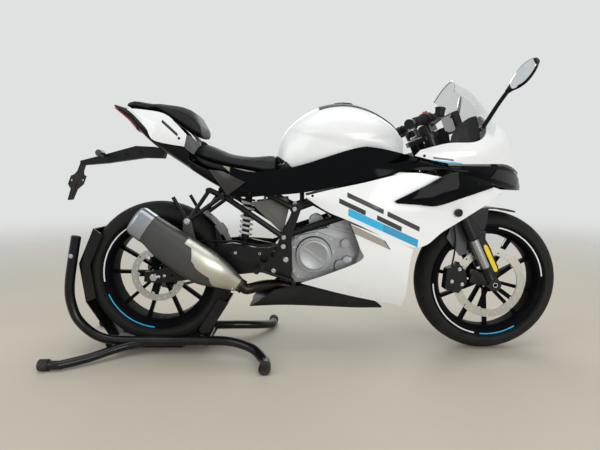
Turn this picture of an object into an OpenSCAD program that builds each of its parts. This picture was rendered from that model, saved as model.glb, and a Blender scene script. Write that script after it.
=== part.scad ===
// Fully faired sport motorcycle held by its rear wheel in a floor wheel chock.
// X runs forward, Y to the rider's left, Z up; the floor is Z = 0; lengths are millimetres.

/* [Wheels] */
// Distance between the axles
wheelbase = 1360; // [1320:5:1400]
// Outer diameter of the front tyre
front_tyre_d = 586; // [576:2:592]
// Width of the front tyre
front_tyre_w = 112; // [104:2:116]
// Outer diameter of the rear tyre
rear_tyre_d = 600; // [590:2:606]
// Width of the rear tyre
rear_tyre_w = 142; // [132:2:144]
// Bead seat diameter of both rims
rim_d = 432; // [426:2:436]
// Diameter of both wheel axles
axle_d = 20; // [18:1:24]
// Bore through the hollow front axle
axle_bore = 14; // [10:1:15]
// Diameter of the front brake disc
front_disc_d = 292; // [270:2:300]
// Diameter of the rear brake disc
rear_disc_d = 220; // [200:2:230]
// Spoke pairs in each wheel
spoke_pairs = 5; // [4:1:6]

/* [Steering] */
// Fork angle from upright
rake = 25; // [23:0.5:26]
// Fork axis ahead of the steering axis
yoke_offset = 30; // [26:1:34]
// Fork leg from the middle plane
fork_y = 100; // [98:1:104]
// Diameter of the fork's outer tubes
fork_tube_d = 50; // [46:1:54]
// Diameter of the fork's bright stanchions
stanchion_d = 37; // [33:1:41]
// Handlebar diameter
bar_d = 22; // [20:1:24]

/* [Body] */
// Thickness of the moulded panels
panel_t = 4; // [3:0.5:5]
// Height of the flat underside of the tank
tank_floor = 752; // [750:1:756]
// Diameter of the main frame tubes
frame_tube_d = 28; // [24:1:30]
// Diameter of the seat rail tubes
rail_d = 22; // [18:1:24]
// Pitch of the drive chain's rollers
chain_pitch = 15.875; // [12.7:0.005:16]

/* [Wheel chock] */
// Height of the rear tyre above the floor
rear_lift = 25; // [25:1:30]
// Main tube diameter of the chock
chock_tube_d = 38; // [34:1:40]
// Chock tube from the middle plane
chock_y = 102; // [100:1:106]
// Outer diameter of the rubber feet
foot_d = 44; // [40:1:48]

/* [Clearances] */
// Gap between pieces that seat on each other
fit = 0.3; // [0.2:0.05:0.5]

/* [Hidden] */
$fn = 48;

// Paint and metal colours
paint_white = "#eef0f1";
paint_black = "#141517";
trim_grey = "#4a4c50";
frame_black = "#1c1d20";
rubber = "#151515";
cast_silver = "#a9abad";
steel = "#c9cbcd";
chock_black = "#17191f";

// Wheel centres
front_r = front_tyre_d / 2;
rear_r = rear_tyre_d / 2;
// Where the front axle stands, so that the box is centred on the origin
front_axle_x = 730;
front_axle_at = [front_axle_x, 0, front_r];
rear_axle_at = [front_axle_x - wheelbase, 0, rear_r + rear_lift];

// Axles and tyre for which the tables below are drawn, and how far the axles stand from there
front_station = [730, 0, 293];
rear_station = [-630, 0, 325];
tyre_station = 300;
fork_shift = front_axle_at - front_station;
rear_shift = rear_axle_at - rear_station;
wheel_scale = rear_r / tyre_station;
axle_r = axle_d / 2;

// Rim and hub
bead_r = rim_d / 2;
flange_h = 14;
flange_t = 6;
front_bead_half = 40;
rear_bead_half = 54;
rim_inner_r = 196;
hub_r = 34;
front_hub_half = 45;
rear_hub_half = 58;
disc_t = 5;
carrier_rise = 1.5;
front_disc_y = 62;
rear_disc_y = 62;

// Stations along the fork, measured up the fork from the front axle
foot_half = 23;
foot_top = 75;
stanchion_top = 205;
lower_yoke_s = 440;
lower_yoke_t = 28;
head_s = 470;
head_len = 165;
upper_yoke_s = 637;
upper_yoke_t = 20;
bar_clamp_s = 660;
bar_clamp_t = 30;
fork_top = 696;
stem_r = 15;
head_r = 29;

// Swingarm, chain and engine places on the middle plane, as [x, z]
pivot_xz = [-128, 385];
drive_xz = [-35, 398];
clutch_xz = [6, 419];
alternator_xz = [90, 400];
arm_in = 94;
arm_out = 116;
plate_in = 118;
plate_out = 136.7;
hugger_gap = 10;
hugger_t = 4;
chain_in = 76;
chain_out = 90;
chain_h = 12;
link_waist = 8.6;
drive_pitch_r = 30;
rear_pitch_r = 86;
stand_xz = [-95, 335];
stand_in = 152;
clutch_r = 68;
clutch_flange = [
  [-78, 345], [-62, 322], [60, 318], [84, 350], [92, 430], [80, 486], [20, 506], [-50, 492], [-80, 450]
];
fin_places = [0.14, 0.27, 0.4, 0.82];
fin_t = 0.045;
fin_depth = 4;
clutch_ribs = [90, 210, 330];
engine_right = 100;
engine_left = 52;
cylinder_half = 95;

// Engine outlines in the side view, as [x, z], and round caps as [x, z, diameter, outer half width]
crankcase = [
  [-92, 340], [-66, 302], [120, 300], [168, 338], [190, 430], [176, 492], [60, 520], [-60, 498], [-92, 450]
];
cylinder_block = [[60, 500], [182, 480], [252, 606], [112, 652]];
sprocket_cover = [[-86, 360], [-60, 342], [60, 340], [60, 460], [-60, 452], [-86, 436]];
case_caps = [[112, 372, 46, 128], [132, 462, 34, 124]];
starter_xz = [20, 540];
rear_mount_xz = [-66, 462];

// Places where panels and pieces bolt on, as [x, z]
cover_stay = [250, 737];
rail_stay = [-200, 668];
fairing_stay = [300, 625];
lower_stay = [140, 390];
engine_stay = [150, 575];
seat_stay = [-186, 661];
tail_stay = [-560, 864];
tank_stays = [[250, 715], [-40, 606]];
tank_stay_y = 100;

// Stays: seat planes where panels bolt to the frame, as half widths
cover_seat = 140;
rail_seat = 142;
fairing_seat = 150;
lower_seat = 120;
cross_bar_half = 140;
mirror_seat = 130;
hanger_in = 130;
hanger_out = 150;
hanger_front = [-352, 646.5];
hanger_rear = [-400, 669.6];
hanger_end = [-484, 552];
muffler_tab = [[-500, 480], [-500, 552], [-492, 566], [-476, 566], [-468, 552], [-450, 470]];
tab_t = 8;

// Radiator core and the bars in front of it
radiator_x = 322;
radiator_t = 18;
radiator_half = 130;
radiator_low = 400;
radiator_top = 610;
grille_bars = 14;
grille_pitch = 14;
grille_bar_h = 6;

// Brackets at the rider's feet and the covers under the seat, as [x, z]
peg_bracket = [
  [-128, 462], [-98, 464], [-95, 439], [-134, 383], [-166, 344], [-221, 352], [-228, 407], [-196, 439]
];
heel_guard = [[-325, 428], [-289, 455], [-172, 447], [-196, 416], [-228, 384], [-290, 400]];
bracket_hole = [-189, 403];
bracket_window = [[-138, 452], [-124, 440], [-152, 408], [-166, 420]];
peg_xz = [-212, 368];
peg_out = 214;
lever_in = 160;
lever_out = 206;
brake_pedal = [[-205, -149, 360], [-72, -168, 318]];
shift_lever = [[-205, 149, 372], [-62, 168, 402]];
side_cover = [[-242, 624], [-100, 641], [-92, 604], [-118, 500], [-214, 593]];
side_cover_step = [[-196, 612], [-116, 622], [-108, 606], [-124, 540], [-184, 598]];
side_cover_in = 104;
side_cover_t = 6;

// Frame tube joints, left side, as [x, y, z]
upper_tube = [[452, 30, 800] + fork_shift, [250, 118, 715], [-50, 118, 605]];
lower_tube = [[488, 28, 735] + fork_shift, [300, 112, 625], [-85, 118, 500]];
seat_rail = [[-70, 154, 600], [-240, 118, 690], [-330, 112, 712]];
tail_rail = [[-112, 154, 490], [-330, 112, 636], [-405, 112, 672]];
brace_foot = [110, 115, 563];
brace_d = 20;
frame_braces = [[lower_tube[1], upper_tube[1]], [brace_foot, upper_tube[1]], [brace_foot, [0, 118, 623]]];
pivot_plate = [
  [-150, 345], [-120, 320], [-82, 320], [-82, 470], [-70, 520], [-46, 590], [-36, 606], [-48, 624],
  [-68, 616], [-98, 540], [-130, 480], [-156, 400]
];
subframe_lugs = [[-70, 600], [-112, 490]];
cross_bar_low = [645, 850];
cross_bar_high = [640, 905];
nose_stay = [[645, 0, 850], [805, 0, 738]];

// Swingarm in the side view, as [x, z]: its front above and below, and its rear end from the axle
arm_over = [[-100, 372], [-112, 412], [-150, 428], [-311, 462], [-367, 456], [-412, 416]];
arm_end = [[20, 27], [-38, 20], [-42, -19], [20, -26]];
arm_under = [[-400, 325], [-150, 350], [-112, 356]];
arm_bridge = [-292, 345];
shock_lug = [[-296, 390], [-296, 425], [-284, 432], [-264, 425], [-264, 390]];
shock_foot = [-282, 0, 440];
shock_head = [-258, 0, 679];
coil_first = [-279, 0, 470];
coil_step = [2.2, 0, 21];
coils = 8;

// Body panels, left side: rails from the upper edge to the lower, points [x, half width, z]
upper_fairing_rails = [
  [[400, 188, 822], [500, 200, 846], [600, 195, 851], [650, 168, 882], [676, 98, 945], [694, 0, 978]],
  [[390, 193, 811], [500, 208, 808], [620, 202, 812], [715, 152, 850], [765, 82, 892], [788, 0, 904]],
  [[380, 191, 800], [500, 207, 772], [630, 192, 769], [745, 132, 770], [825, 62, 746], [857, 0, 724]]
];
nose_trim_rails = [
  [[505, 205, 764], [632, 189, 762], [745, 129, 762], [823, 60, 737], [853, 0, 715]],
  [[508, 216, 750], [606, 204, 744], [724, 146, 728], [818, 70, 706], [867, 0, 694]],
  [[512, 214, 738], [575, 208, 727], [694, 160, 694], [800, 82, 672], [868, 0, 668]]
];
frame_cover_rails = [
  [[-318, 136, 762], [-250, 142, 744], [-184, 148, 744], [-50, 158, 766], [158, 166, 829],
   [243, 172, 831], [382, 186, 797], [500, 200, 762]],
  [[-318, 147, 694], [-250, 158, 680], [-184, 164, 690], [-45, 174, 712], [158, 188, 765],
   [243, 194, 775], [375, 200, 772], [503, 208, 750]],
  [[-318, 144, 650], [-250, 156, 645], [-184, 164, 650], [-30, 180, 664], [160, 197, 702],
   [243, 203, 722], [365, 206, 746], [506, 204, 742]]
];
side_upper_rails = [
  [[-24, 186, 652], [70, 196, 675], [180, 206, 698], [354, 214, 736], [473, 220, 722],
   [600, 200, 704], [735, 138, 672]],
  [[-22, 188, 646], [62, 204, 634], [165, 216, 626], [366, 226, 596], [486, 224, 624],
   [622, 203, 660], [736, 144, 664]],
  [[-20, 186, 640], [52, 200, 594], [142, 212, 556], [378, 218, 460], [494, 216, 524],
   [643, 196, 612], [734, 140, 656]]
];
side_lower_rails = [
  [[142, 209, 548], [178, 206, 455], [184, 204, 410], [60, 186, 352], [-44, 166, 313]],
  [[258, 215, 502], [274, 212, 428], [276, 204, 368], [208, 182, 306], [148, 156, 262]],
  [[376, 213, 452], [366, 208, 396], [362, 196, 324], [360, 176, 266], [350, 148, 220]]
];
wing_rails = [
  [[300, 236, 634], [400, 244, 685], [504, 240, 737], [575, 224, 728], [690, 176, 692]],
  [[303, 238, 630], [392, 248, 652], [478, 250, 676], [568, 234, 690], [690, 180, 688]],
  [[306, 237, 625], [384, 246, 620], [452, 248, 616], [560, 232, 648], [690, 178, 684]]
];
belly_rails = [
  [[-152, 118, 274], [-42, 134, 294], [100, 140, 266], [232, 138, 240], [278, 124, 205]],
  [[-246, 104, 204], [-110, 116, 213], [60, 120, 207], [180, 116, 200], [276, 102, 197]],
  [[-252, 0, 197], [-100, 0, 202], [70, 0, 199], [160, 0, 195], [274, 0, 191]]
];
screen_rails = [
  [[540, 130, 1050], [552, 92, 1080], [562, 48, 1102], [568, 0, 1112]],
  [[602, 142, 1000], [622, 96, 1034], [640, 50, 1054], [650, 0, 1062]],
  [for (c = [9:2:15]) let (g = panel_grid(upper_fairing_rails, 3, 2))
    g[c][1] + (panel_t + 1.5) * panel_out(g, c, 1)]
];
cockpit_rails = [
  [[532, 184, 906], [576, 180, 938], [612, 170, 950]],
  [[518, 188, 878], [574, 184, 896], [622, 170, 916]],
  [[506, 188, 832], [596, 184, 820], [632, 168, 856]]
];
tail_fairing_rails = [
  [[-730, 78, 990], [-680, 98, 986], [-584, 122, 969], [-540, 130, 943], [-482, 138, 884]],
  [[-726, 82, 986], [-686, 104, 972], [-612, 132, 930], [-574, 138, 896], [-486, 142, 860]],
  [[-722, 80, 981], [-692, 102, 960], [-640, 126, 908], [-608, 134, 862], [-492, 139, 838]]
];

// Lofted bodies: stations [x, lowest z, widest z, highest z, half width, squareness]
tank_rows = [
  [-140, 700, 772, 822, 62, 2.4], [-112, 700, 780, 896, 94, 2.4], [-60, 700, 796, 953, 122, 2.4],
  [10, 700, 822, 994, 146, 2.4], [82, 700, 846, 1012, 158, 2.4], [160, 700, 858, 1010, 160, 2.4],
  [240, 700, 862, 983, 152, 2.4], [312, 700, 858, 936, 130, 2.4], [356, 700, 848, 884, 100, 2.4]
];
rider_seat_rows = [
  [-466, 814, 826, 841, 96, 3], [-412, 786, 812, 846, 122, 3], [-330, 764, 786, 812, 132, 3],
  [-250, 748, 774, 799, 128, 3], [-186, 733, 768, 803, 112, 3], [-148, 740, 766, 808, 96, 3]
];
pillion_seat_rows = [
  [-735, 1000, 1007, 1014, 62, 3], [-700, 997, 1008, 1019, 88, 3], [-640, 984, 996, 1009, 110, 3],
  [-600, 984, 994, 1005, 116, 3],
  [-550, 946, 974, 1000, 118, 3], [-500, 908, 948, 992, 118, 3], [-462, 884, 920, 968, 112, 3],
  [-436, 880, 898, 920, 100, 3]
];
undertail_rows = [
  [-786, 1000, 1006, 1012, 58, 3], [-730, 950, 975, 996, 76, 3], [-690, 905, 945, 985, 94, 3],
  [-625, 846, 890, 966, 112, 3], [-560, 800, 860, 944, 118, 3], [-505, 764, 822, 904, 120, 3],
  [-482, 748, 800, 860, 120, 3], [-472, 742, 772, 796, 120, 3], [-400, 696, 730, 764, 120, 3],
  [-334.3, 660, 700, 744, 118, 3]
];

// Chock cradle: inner line of the bent plate on the middle plane, as [x, z] from the rear axle
cradle_line = [
  [-249, 190], [-313, 47], [-292, -110], [-190, -270], [-90, -300], [90, -300], [190, -263], [285, -115]
];
cradle_t = 4;
cradle_half = 80;
cradle_flange_in = 76;
cradle_flange_depth = 0.13;
chock_bar_d = 26;
foot_len = 38;
chock_reach = front_axle_x + front_r;
chock_path = [
  [-941, chock_y, 487], [-962, chock_y, 382], [-977, chock_y, 287], [-974, chock_y, 215],
  [-945, chock_y, 140], [-868, chock_y, 76], [-756, chock_y, 58], [-459, chock_y, 58],
  [-330, chock_y + 8, 57], [-240, 150, 44], [-190, 214, 26], [-178, 244, foot_d / 2], [-178, 262, foot_d / 2]
];
chock_rear_path = [
  [-690, chock_y, 50], [-770, 130, 40], [-862, 204, 27], [-chock_reach + 88, 252, foot_d / 2],
  [-chock_reach + 2 * foot_len, 262, foot_d / 2]
];
chock_front_end = chock_path[len(chock_path) - 1] + [0, 8, 0];
chock_rear_end = [-chock_reach + foot_len, 262, foot_d / 2];

// Muffler's axis, and stations along it as [place, rise, half height, half width, shift in]
muffler_rear = [-670, -190, 554];
muffler_tilt = 34.5;
muffler_square = 2.6;
muffler_rows = [
  [24, 7, 57, 46, 0], [70, 6, 58, 48, 0], [130, 0, 66, 53, 0], [205, -1, 70, 56, 0], [262, 0, 71, 56, 0],
  [320, 2, 68, 55, 2], [376, 8, 55, 47, 8], [430, 12, 35, 34, 22], [470, 12, 24, 24, 32]
];
muffler_cap_rows = [[-6, 8, 50, 39, 0], [4, 8, 57, 46, 0], [24 - fit, 7, 58.5, 47.5, 0]];
shield_low = [36, 36, 4, -2, -5, -8, -38, -45, -52, -55];
shield_high = 72;
shield_t = 2.4;
shield_lift = 4.6;
muffler_outlet_r = 20;

// Exhaust route from the cylinder to the muffler
header_path = [
  [258, 0, 566], [284, -4, 520], [286, -20, 420], [262, -38, 330], [190, -52, 276], [60, -60, 262],
  [-60, -62, 266], [-130, -76, 284], [-190, -116, 292], [-236, -148, 288]
];
header_d = 42;
header_straight = 22;

// Plate holder: left edge from its arm down, as [y, z] in the inclined plane
plate_lean = 22;
plate_edge = [[21, 2], [24, -40], [36, -54], [62, -62], [62, -98], [40, -112], [26, -120], [20, -168]];

plate_at = [-945, 0, 785];
plate_t = 6;
plate_arm = [
  [-600, 830], [-640, 846], [-720, 850], [-850, 815], [-950, 790], [-950, 772], [-850, 780], [-690, 802],
  [-610, 800]
];

// Fender sides and calipers in the side view, as [x, z] from the axle
fender_side = [[-165, 263], [-90, 293], [-14, 305], [-18, 247], [-38, 185], [-90, 185], [-130, 227]];
fender_tail = [[-150, 268], [-182, 184], [-126, 109], [-98, 119], [-100, 230]];
front_caliper_outline = [[-190, -25], [-182, 57], [-130, 79], [-102, 47], [-96, 3], [-130, -43]];
caliper_lug = [[-96, 7], [-86, 59], [-20, 37], [-14, -8]];
fender_lug = [[-56, 212], [-26, 212], [-30, 185], [-54, 185]];
fender_foot = [[-54, 207], [-28, 207], [-30, 112], [-75, 112]];
fender_half = 66;
rear_caliper_outline = [[50, 47], [70, 115], [120, 113], [140, 55], [110, 20], [64, 23]];

// Mirror head: where it leaves its stalk, its outer tip, and its half width at shares of its length
mirror_foot = [690, 254, 1027];
mirror_tip = [735, 364, 1106];
mirror_half_t = 8;
mirror_rows = [[-0.06, 9], [0.1, 17], [0.28, 29], [0.5, 36], [0.7, 33], [0.87, 23], [0.97, 10]];

// Handlebar ends on the left, inner to outer
bar_in = [468, 130, 956] + fork_shift;
bar_out = [326, 345, 899] + fork_shift;
bar_dir = unit(bar_out - bar_in);
grip_d = 34;
switch_d = 42;

// Smooth curve through a list of points, n steps a span
function span(a, b, c, d, t) =
  0.5 * (2 * b + (c - a) * t + (2 * a - 5 * b + 4 * c - d) * t * t + (3 * b - a - 3 * c + d) * t * t * t);
function smooth(pts, n) = [
  for (i = [0:len(pts) - 2]) for (k = [0:n - 1])
    span(pts[max(i - 1, 0)], pts[i], pts[i + 1], pts[min(i + 2, len(pts) - 1)], k / n),
  pts[len(pts) - 1]
];
function unit(v) = v / norm(v);
function part_of(list, first, last) = [for (i = [first:last]) list[i]];
function polar(r, a) = [r * cos(a), r * sin(a)];

// Place in the side view, [x, z], of a point given from the rear axle
function at_axle(p) = [rear_axle_at[0] + p[0], rear_axle_at[2] + p[1]];

// Point of a muffler station, [rise, across, place], at an angle from its outer side, in the bike's frame
function on_muffler(row, a) = muffler_at(
  row[1] + row[2] * bend(sin(a), muffler_square), row[4] - row[3] * bend(cos(a), muffler_square), row[0]);
function muffler_at(rise, across, place) = muffler_rear + [
  place * cos(muffler_tilt) + rise * sin(muffler_tilt), across,
  rise * cos(muffler_tilt) - place * sin(muffler_tilt)
];

// Grid of a panel's outer face, [column][row], and its outward direction at a grid point
function panel_grid(rails, n, m) = let (rows = [for (r = rails) smooth(r, n)])
  [for (j = [0:len(rows[0]) - 1]) smooth([for (r = rows) r[j]], m)];
function flat_at_middle(v, y) = abs(y) < 0.01 ? unit([v[0], 0, v[2]]) : unit(v);
function panel_out(g, j, i) = flat_at_middle(cross(
  g[min(j + 1, len(g) - 1)][i] - g[max(j - 1, 0)][i],
  g[j][min(i + 1, len(g[0]) - 1)] - g[j][max(i - 1, 0)]), g[j][i][1]);
function quad(a, b, c, d) = [[a, b, c], [a, c, d]];

// Thin moulded panel on the left side: outer face lifted off its rails, columns and rows may be a part
module shell(rails, thick = panel_t, lift = 0, n = 3, m = 2, cols = [0, 99], rows = [0, 99]) {
  g = panel_grid(rails, n, m);
  j0 = cols[0];
  j1 = min(cols[1], len(g) - 1);
  i0 = rows[0];
  i1 = min(rows[1], len(g[0]) - 1);
  w = j1 - j0 + 1;
  h = i1 - i0 + 1;
  function face(off) = [for (i = [i0:i1]) for (j = [j0:j1]) g[j][i] + off * panel_out(g, j, i)];
  function o(i, j) = i * w + j;
  function b(i, j) = w * h + i * w + j;
  polyhedron(concat(face(lift), face(lift - thick)), concat(
    [for (i = [0:h - 2]) for (j = [0:w - 2]) each quad(o(i, j), o(i + 1, j), o(i + 1, j + 1), o(i, j + 1))],
    [for (i = [0:h - 2]) for (j = [0:w - 2]) each quad(b(i, j), b(i, j + 1), b(i + 1, j + 1), b(i + 1, j))],
    [for (j = [0:w - 2]) each quad(o(0, j), o(0, j + 1), b(0, j + 1), b(0, j))],
    [for (j = [0:w - 2]) each quad(o(h - 1, j), b(h - 1, j), b(h - 1, j + 1), o(h - 1, j + 1))],
    [for (i = [0:h - 2]) each quad(o(i, 0), b(i, 0), b(i + 1, 0), o(i + 1, 0))],
    [for (i = [0:h - 2]) each quad(o(i, w - 1), o(i + 1, w - 1), b(i + 1, w - 1), b(i, w - 1))]
  ));
}

// Skin over stacked rings of points
module rings(pts, sides) {
  last = len(pts) / sides - 1;
  polyhedron(pts, concat(
    [[for (k = [0:sides - 1]) k]],
    [[for (k = [0:sides - 1]) last * sides + sides - 1 - k]],
    [for (i = [0:last - 1]) for (k = [0:sides - 1]) let (l = (k + 1) % sides)
      each quad(i * sides + k, (i + 1) * sides + k, (i + 1) * sides + l, i * sides + l)]
  ));
}

// Point of a lofted body's section at an angle from its left side
function bend(c, p) = sign(c) * pow(abs(c), 2 / p);
function section_point(r, a) = [
  r[0], r[4] * bend(cos(a), r[5]),
  r[2] + (sin(a) > 0 ? r[3] - r[2] : r[2] - r[1]) * bend(sin(a), r[5])
];

module loft(table, n = 2, sides = 20) {
  rows = smooth(table, n);
  rings([for (r = rows) for (k = [0:sides - 1]) section_point(r, 360 * k / sides)], sides);
}

// Rails of a skin over part of a lofted body, between two section angles
function skin_rails(rows, a0, a1, steps) = [
  for (k = [0:steps]) [for (r = rows) section_point(r, a0 + (a1 - a0) * k / steps)]
];

// Bent tube along a route
module sweep(path, d, sides = 12, guide = [0.3, 0.2, 1]) {
  last = len(path) - 1;
  rings([for (i = [0:last]) let (
      t = unit(path[min(i + 1, last)] - path[max(i - 1, 0)]), u = unit(cross(t, guide)), v = cross(t, u))
    for (k = [0:sides - 1]) path[i] + d / 2 * (cos(360 * k / sides) * u + sin(360 * k / sides) * v)], sides);
}

// Straight round bar between two points
module rod(p, q, d) {
  v = q - p;
  translate(p) rotate([0, acos(v[2] / norm(v)), atan2(v[1], v[0])]) cylinder(h = norm(v), d = d);
}

// Round bar across the bike, between two half widths
module cross_rod(xz, y0, y1, d) {
  rod([xz[0], y0, xz[1]], [xz[0], y1, xz[1]], d);
}

// Tube through a list of joints with a weld bead at each inner joint
module welded_tube(pts, d) {
  for (i = [0:len(pts) - 2]) rod(pts[i], pts[i + 1], d);
  for (i = [1:len(pts) - 2]) translate(pts[i]) sphere(d = d + 2);
}

// Flat plate in the side view, between two half widths
module side_plate(outline, y0, y1) {
  translate([0, y1, 0]) rotate([90, 0, 0]) linear_extrude(y1 - y0) polygon(outline);
}

module both() {
  children();
  mirror([0, 1, 0]) children();
}

module fork_frame() {
  translate(front_axle_at) rotate([0, -rake, 0]) children();
}

module wheel_frame(at) {
  translate(at) rotate([90, 0, 0]) children();
}

// Boss of a panel that reaches in to a seat plane on the frame, at [x, z] near a half width
module boss(xz, seat, skin_y, d = 12) {
  cross_rod(xz, seat, skin_y, d);
}

module main_frame() {
  color(frame_black) difference() {
    union() {
      fork_frame() translate([-yoke_offset, 0, head_s]) cylinder(h = head_len, r = head_r);
      both() {
        welded_tube(upper_tube, frame_tube_d);
        welded_tube(lower_tube, frame_tube_d);
        for (b = frame_braces) rod(b[0], b[1], brace_d);
        side_plate(pivot_plate, plate_in, plate_out);
        cross_rod(engine_stay, cylinder_half + fit, lower_tube[1][1], brace_d);
        for (p = tank_stays) rod([p[0], tank_stay_y, p[1]], [p[0], tank_stay_y, tank_floor - fit], 18);
        cross_rod(cover_stay, tank_stay_y, cover_seat - fit, 16);
        cross_rod(fairing_stay, lower_tube[1][1], fairing_seat - fit, 16);
        rod([330, 99, 642], [330, 99, radiator_top + fit], 14);
        cross_rod(cross_bar_low, -1, cross_bar_half - fit, 18);
        cross_rod(cross_bar_high, -1, mirror_seat - fit, 18);
      }
      cross_rod([-70, 604], -plate_in - 2, plate_in + 2, 24);
      rod([468, 0, 783] + fork_shift, nose_stay[0], 22);
      rod(nose_stay[0], [cross_bar_high[0], 0, cross_bar_high[1] - 2], 15);
      rod(nose_stay[0], nose_stay[1], 16);
      cross_rod(stand_xz, plate_out - 1, stand_in - fit, 26);
    }
    fork_frame() translate([-yoke_offset, 0, head_s - 1]) cylinder(h = head_len + 2, r = stem_r + fit);
  }
}

module subframe() {
  color(frame_black) {
    both() {
      welded_tube(seat_rail, rail_d);
      welded_tube(tail_rail, rail_d);
      for (p = subframe_lugs) cross_rod(p, plate_out + fit, plate_out + 22, 34);
      cross_rod(rail_stay, seat_rail[1][1], rail_seat - fit, 14);
      for (p = [hanger_front, hanger_rear]) cross_rod(p, tail_rail[1][1], hanger_in - fit, 18);
      rod([-318, 112, 708], [-318, 112, 628], 18);
    }
    translate([-334, -124, 690]) cube([10, 248, 36]);
    cross_rod(seat_stay, -120, 120, rail_d);
    cross_rod([-255, 692], -118, 118, rail_d);
    rod([seat_stay[0], 0, seat_stay[1]], [seat_stay[0], 0, rider_seat_rows[4][1] - fit], 16);
  }
}

module swingarm() {
  color(frame_black) difference() {
    union() {
      both() side_plate(concat(arm_over, [for (p = arm_end) at_axle(p)], arm_under), arm_in, arm_out);
      cross_rod(pivot_xz, -plate_in + fit, plate_in - fit, 50);
      translate([arm_bridge[0], -arm_in - 1, arm_bridge[1]]) cube([30, 2 * arm_in + 2, 52]);
      side_plate(shock_lug, -18, 18);
    }
    wheel_frame(rear_axle_at) translate([0, 0, -150]) cylinder(h = 300, r = axle_r + fit);
    both() cross_rod(at_axle([70, 6]), arm_out - 20, arm_out + 1, 8);
  }
}

module rear_shock() {
  color(trim_grey) {
    rod(shock_foot, shock_head, 30);
    for (k = [0:coils - 1]) rod(coil_first + k * coil_step, coil_first + k * coil_step + [1, 0, 10], 58);
    side_plate([[-290, 432 + fit], [-290, 446], [-272, 446], [-272, 432 + fit]], -15, 15);
  }
}

// Corner of a cooling fin, at the rear (0) or the front (1) of the cylinder, at a share of its height
function fin(front, t) = front == 1 ? [190 + 70 * t, 479 + 126 * t] : [52 + 52 * t, 501 + 152 * t];

module engine() {
  color(cast_silver) {
    side_plate(crankcase, -engine_right, engine_left);
    side_plate(cylinder_block, -cylinder_half, cylinder_half);
    for (t = fin_places) side_plate([fin(0, t), fin(1, t), fin(1, t + fin_t), fin(0, t + fin_t)],
      -cylinder_half - fin_depth, cylinder_half + fin_depth);
    cross_rod(rear_mount_xz, -plate_in + fit, plate_in - fit, 36);
    side_plate(clutch_flange, -118, -engine_right + 1);
    cross_rod(clutch_xz, -150, -117, 2 * clutch_r);
    cross_rod(clutch_xz, -160, -149, 2 * clutch_r - 16);
    for (a = clutch_ribs) translate([clutch_xz[0], -164, clutch_xz[1]]) rotate([0, -a, 0])
      translate([10, 0, -5]) cube([clutch_r - 20, 5, 10]);
    for (c = case_caps) cross_rod([c[0], c[1]], -c[3], -engine_right + 1, c[2]);
    cross_rod(starter_xz, -60, 40, 62);
    cross_rod(alternator_xz, engine_left - 1, lower_seat - fit, 140);
    cross_rod(lower_stay, -lower_seat + fit, -engine_right + 1, 40);
    cross_rod(drive_xz, engine_left - 1, chain_out - 1, 24);
    cross_rod(drive_xz, chain_in + 3, chain_out - 3, 2 * (drive_pitch_r - chain_h / 2) - 1);
    side_plate(sprocket_cover, chain_out + 6, chain_out + 16);
  }
}

module exhaust_header() {
  end = muffler_rows[len(muffler_rows) - 1];
  mouth = muffler_at(end[1], end[4], end[0] + fit);
  bend_end = muffler_at(end[1], end[4], end[0] + header_straight);
  route = smooth(concat(header_path, [bend_end]), 3);
  color(steel) sweep(concat(route, [mouth]), header_d, 12, [0.2, 1, 0.1]);
}

module muffler_rings(rows, sides = 24) {
  rings([for (r = rows) for (k = [0:sides - 1]) on_muffler(r, -360 * k / sides)], sides);
}

module muffler() {
  color(trim_grey) {
    muffler_rings(smooth(muffler_rows, 2));
    side_plate(muffler_tab, -hanger_out - tab_t, -hanger_out - fit);
  }
}

module muffler_trim() {
  stations = part_of(smooth(muffler_rows, 2), 6, 15);
  color(steel) {
    difference() {
      muffler_rings(muffler_cap_rows);
      rod(muffler_at(0, 0, -8), muffler_at(0, 0, 14), 2 * muffler_outlet_r);
    }
    shell([for (k = [0:6]) [for (i = [0:len(stations) - 1])
      on_muffler(stations[i], shield_low[i] + (shield_high - shield_low[i]) * k / 6)]],
      shield_t, shield_lift, 1, 1);
  }
}

module radiator() {
  color(frame_black) {
    translate([radiator_x, -radiator_half, radiator_low])
      cube([radiator_t, 2 * radiator_half, radiator_top - radiator_low]);
    for (k = [0:grille_bars - 1])
      translate([radiator_x - 6, -radiator_half - 1, radiator_low + 8 + grille_pitch * k])
        cube([radiator_t + 12, 2 * radiator_half + 2, grille_bar_h]);
    both() translate([radiator_x - 10, radiator_half, radiator_low + 5])
      cube([radiator_t + 20, 14, radiator_top - radiator_low - 10]);
  }
}

module footrests() {
  hanger_mid = (hanger_in + hanger_out) / 2;
  function on_hanger(xz, in) = [xz[0], hanger_mid - in, xz[1]];
  color(frame_black) {
    both() {
      difference() {
        side_plate(peg_bracket, plate_out + fit, plate_out + 9);
        cross_rod(bracket_hole, plate_out, plate_out + 10, 30);
        side_plate(bracket_window, plate_out, plate_out + 10);
      }
      side_plate(heel_guard, plate_out + 8, plate_out + 12);
      cross_rod(peg_xz, plate_out + 4, peg_out, 24);
      for (p = [hanger_front, hanger_rear]) cross_rod(p, hanger_in, hanger_out - 1, 24);
      rod(on_hanger(hanger_front, 0), on_hanger(hanger_end, -1), 17);
      rod(on_hanger(hanger_rear, 1), on_hanger(hanger_end + [5, 6], 0), 16);
      cross_rod(hanger_end, hanger_in + 0.5, hanger_out, 36);
      rod(on_hanger(hanger_end + [-10, 10], 0), on_hanger(hanger_end + [-56, 92], 2), 15);
    }
    rod(brake_pedal[0], brake_pedal[1], 12);
    cross_rod([brake_pedal[1][0], brake_pedal[1][2]], -lever_out, -lever_in, 16);
    rod(shift_lever[0], shift_lever[1], 12);
    cross_rod([shift_lever[1][0], shift_lever[1][2]], lever_in, lever_out, 16);
  }
}

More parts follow.
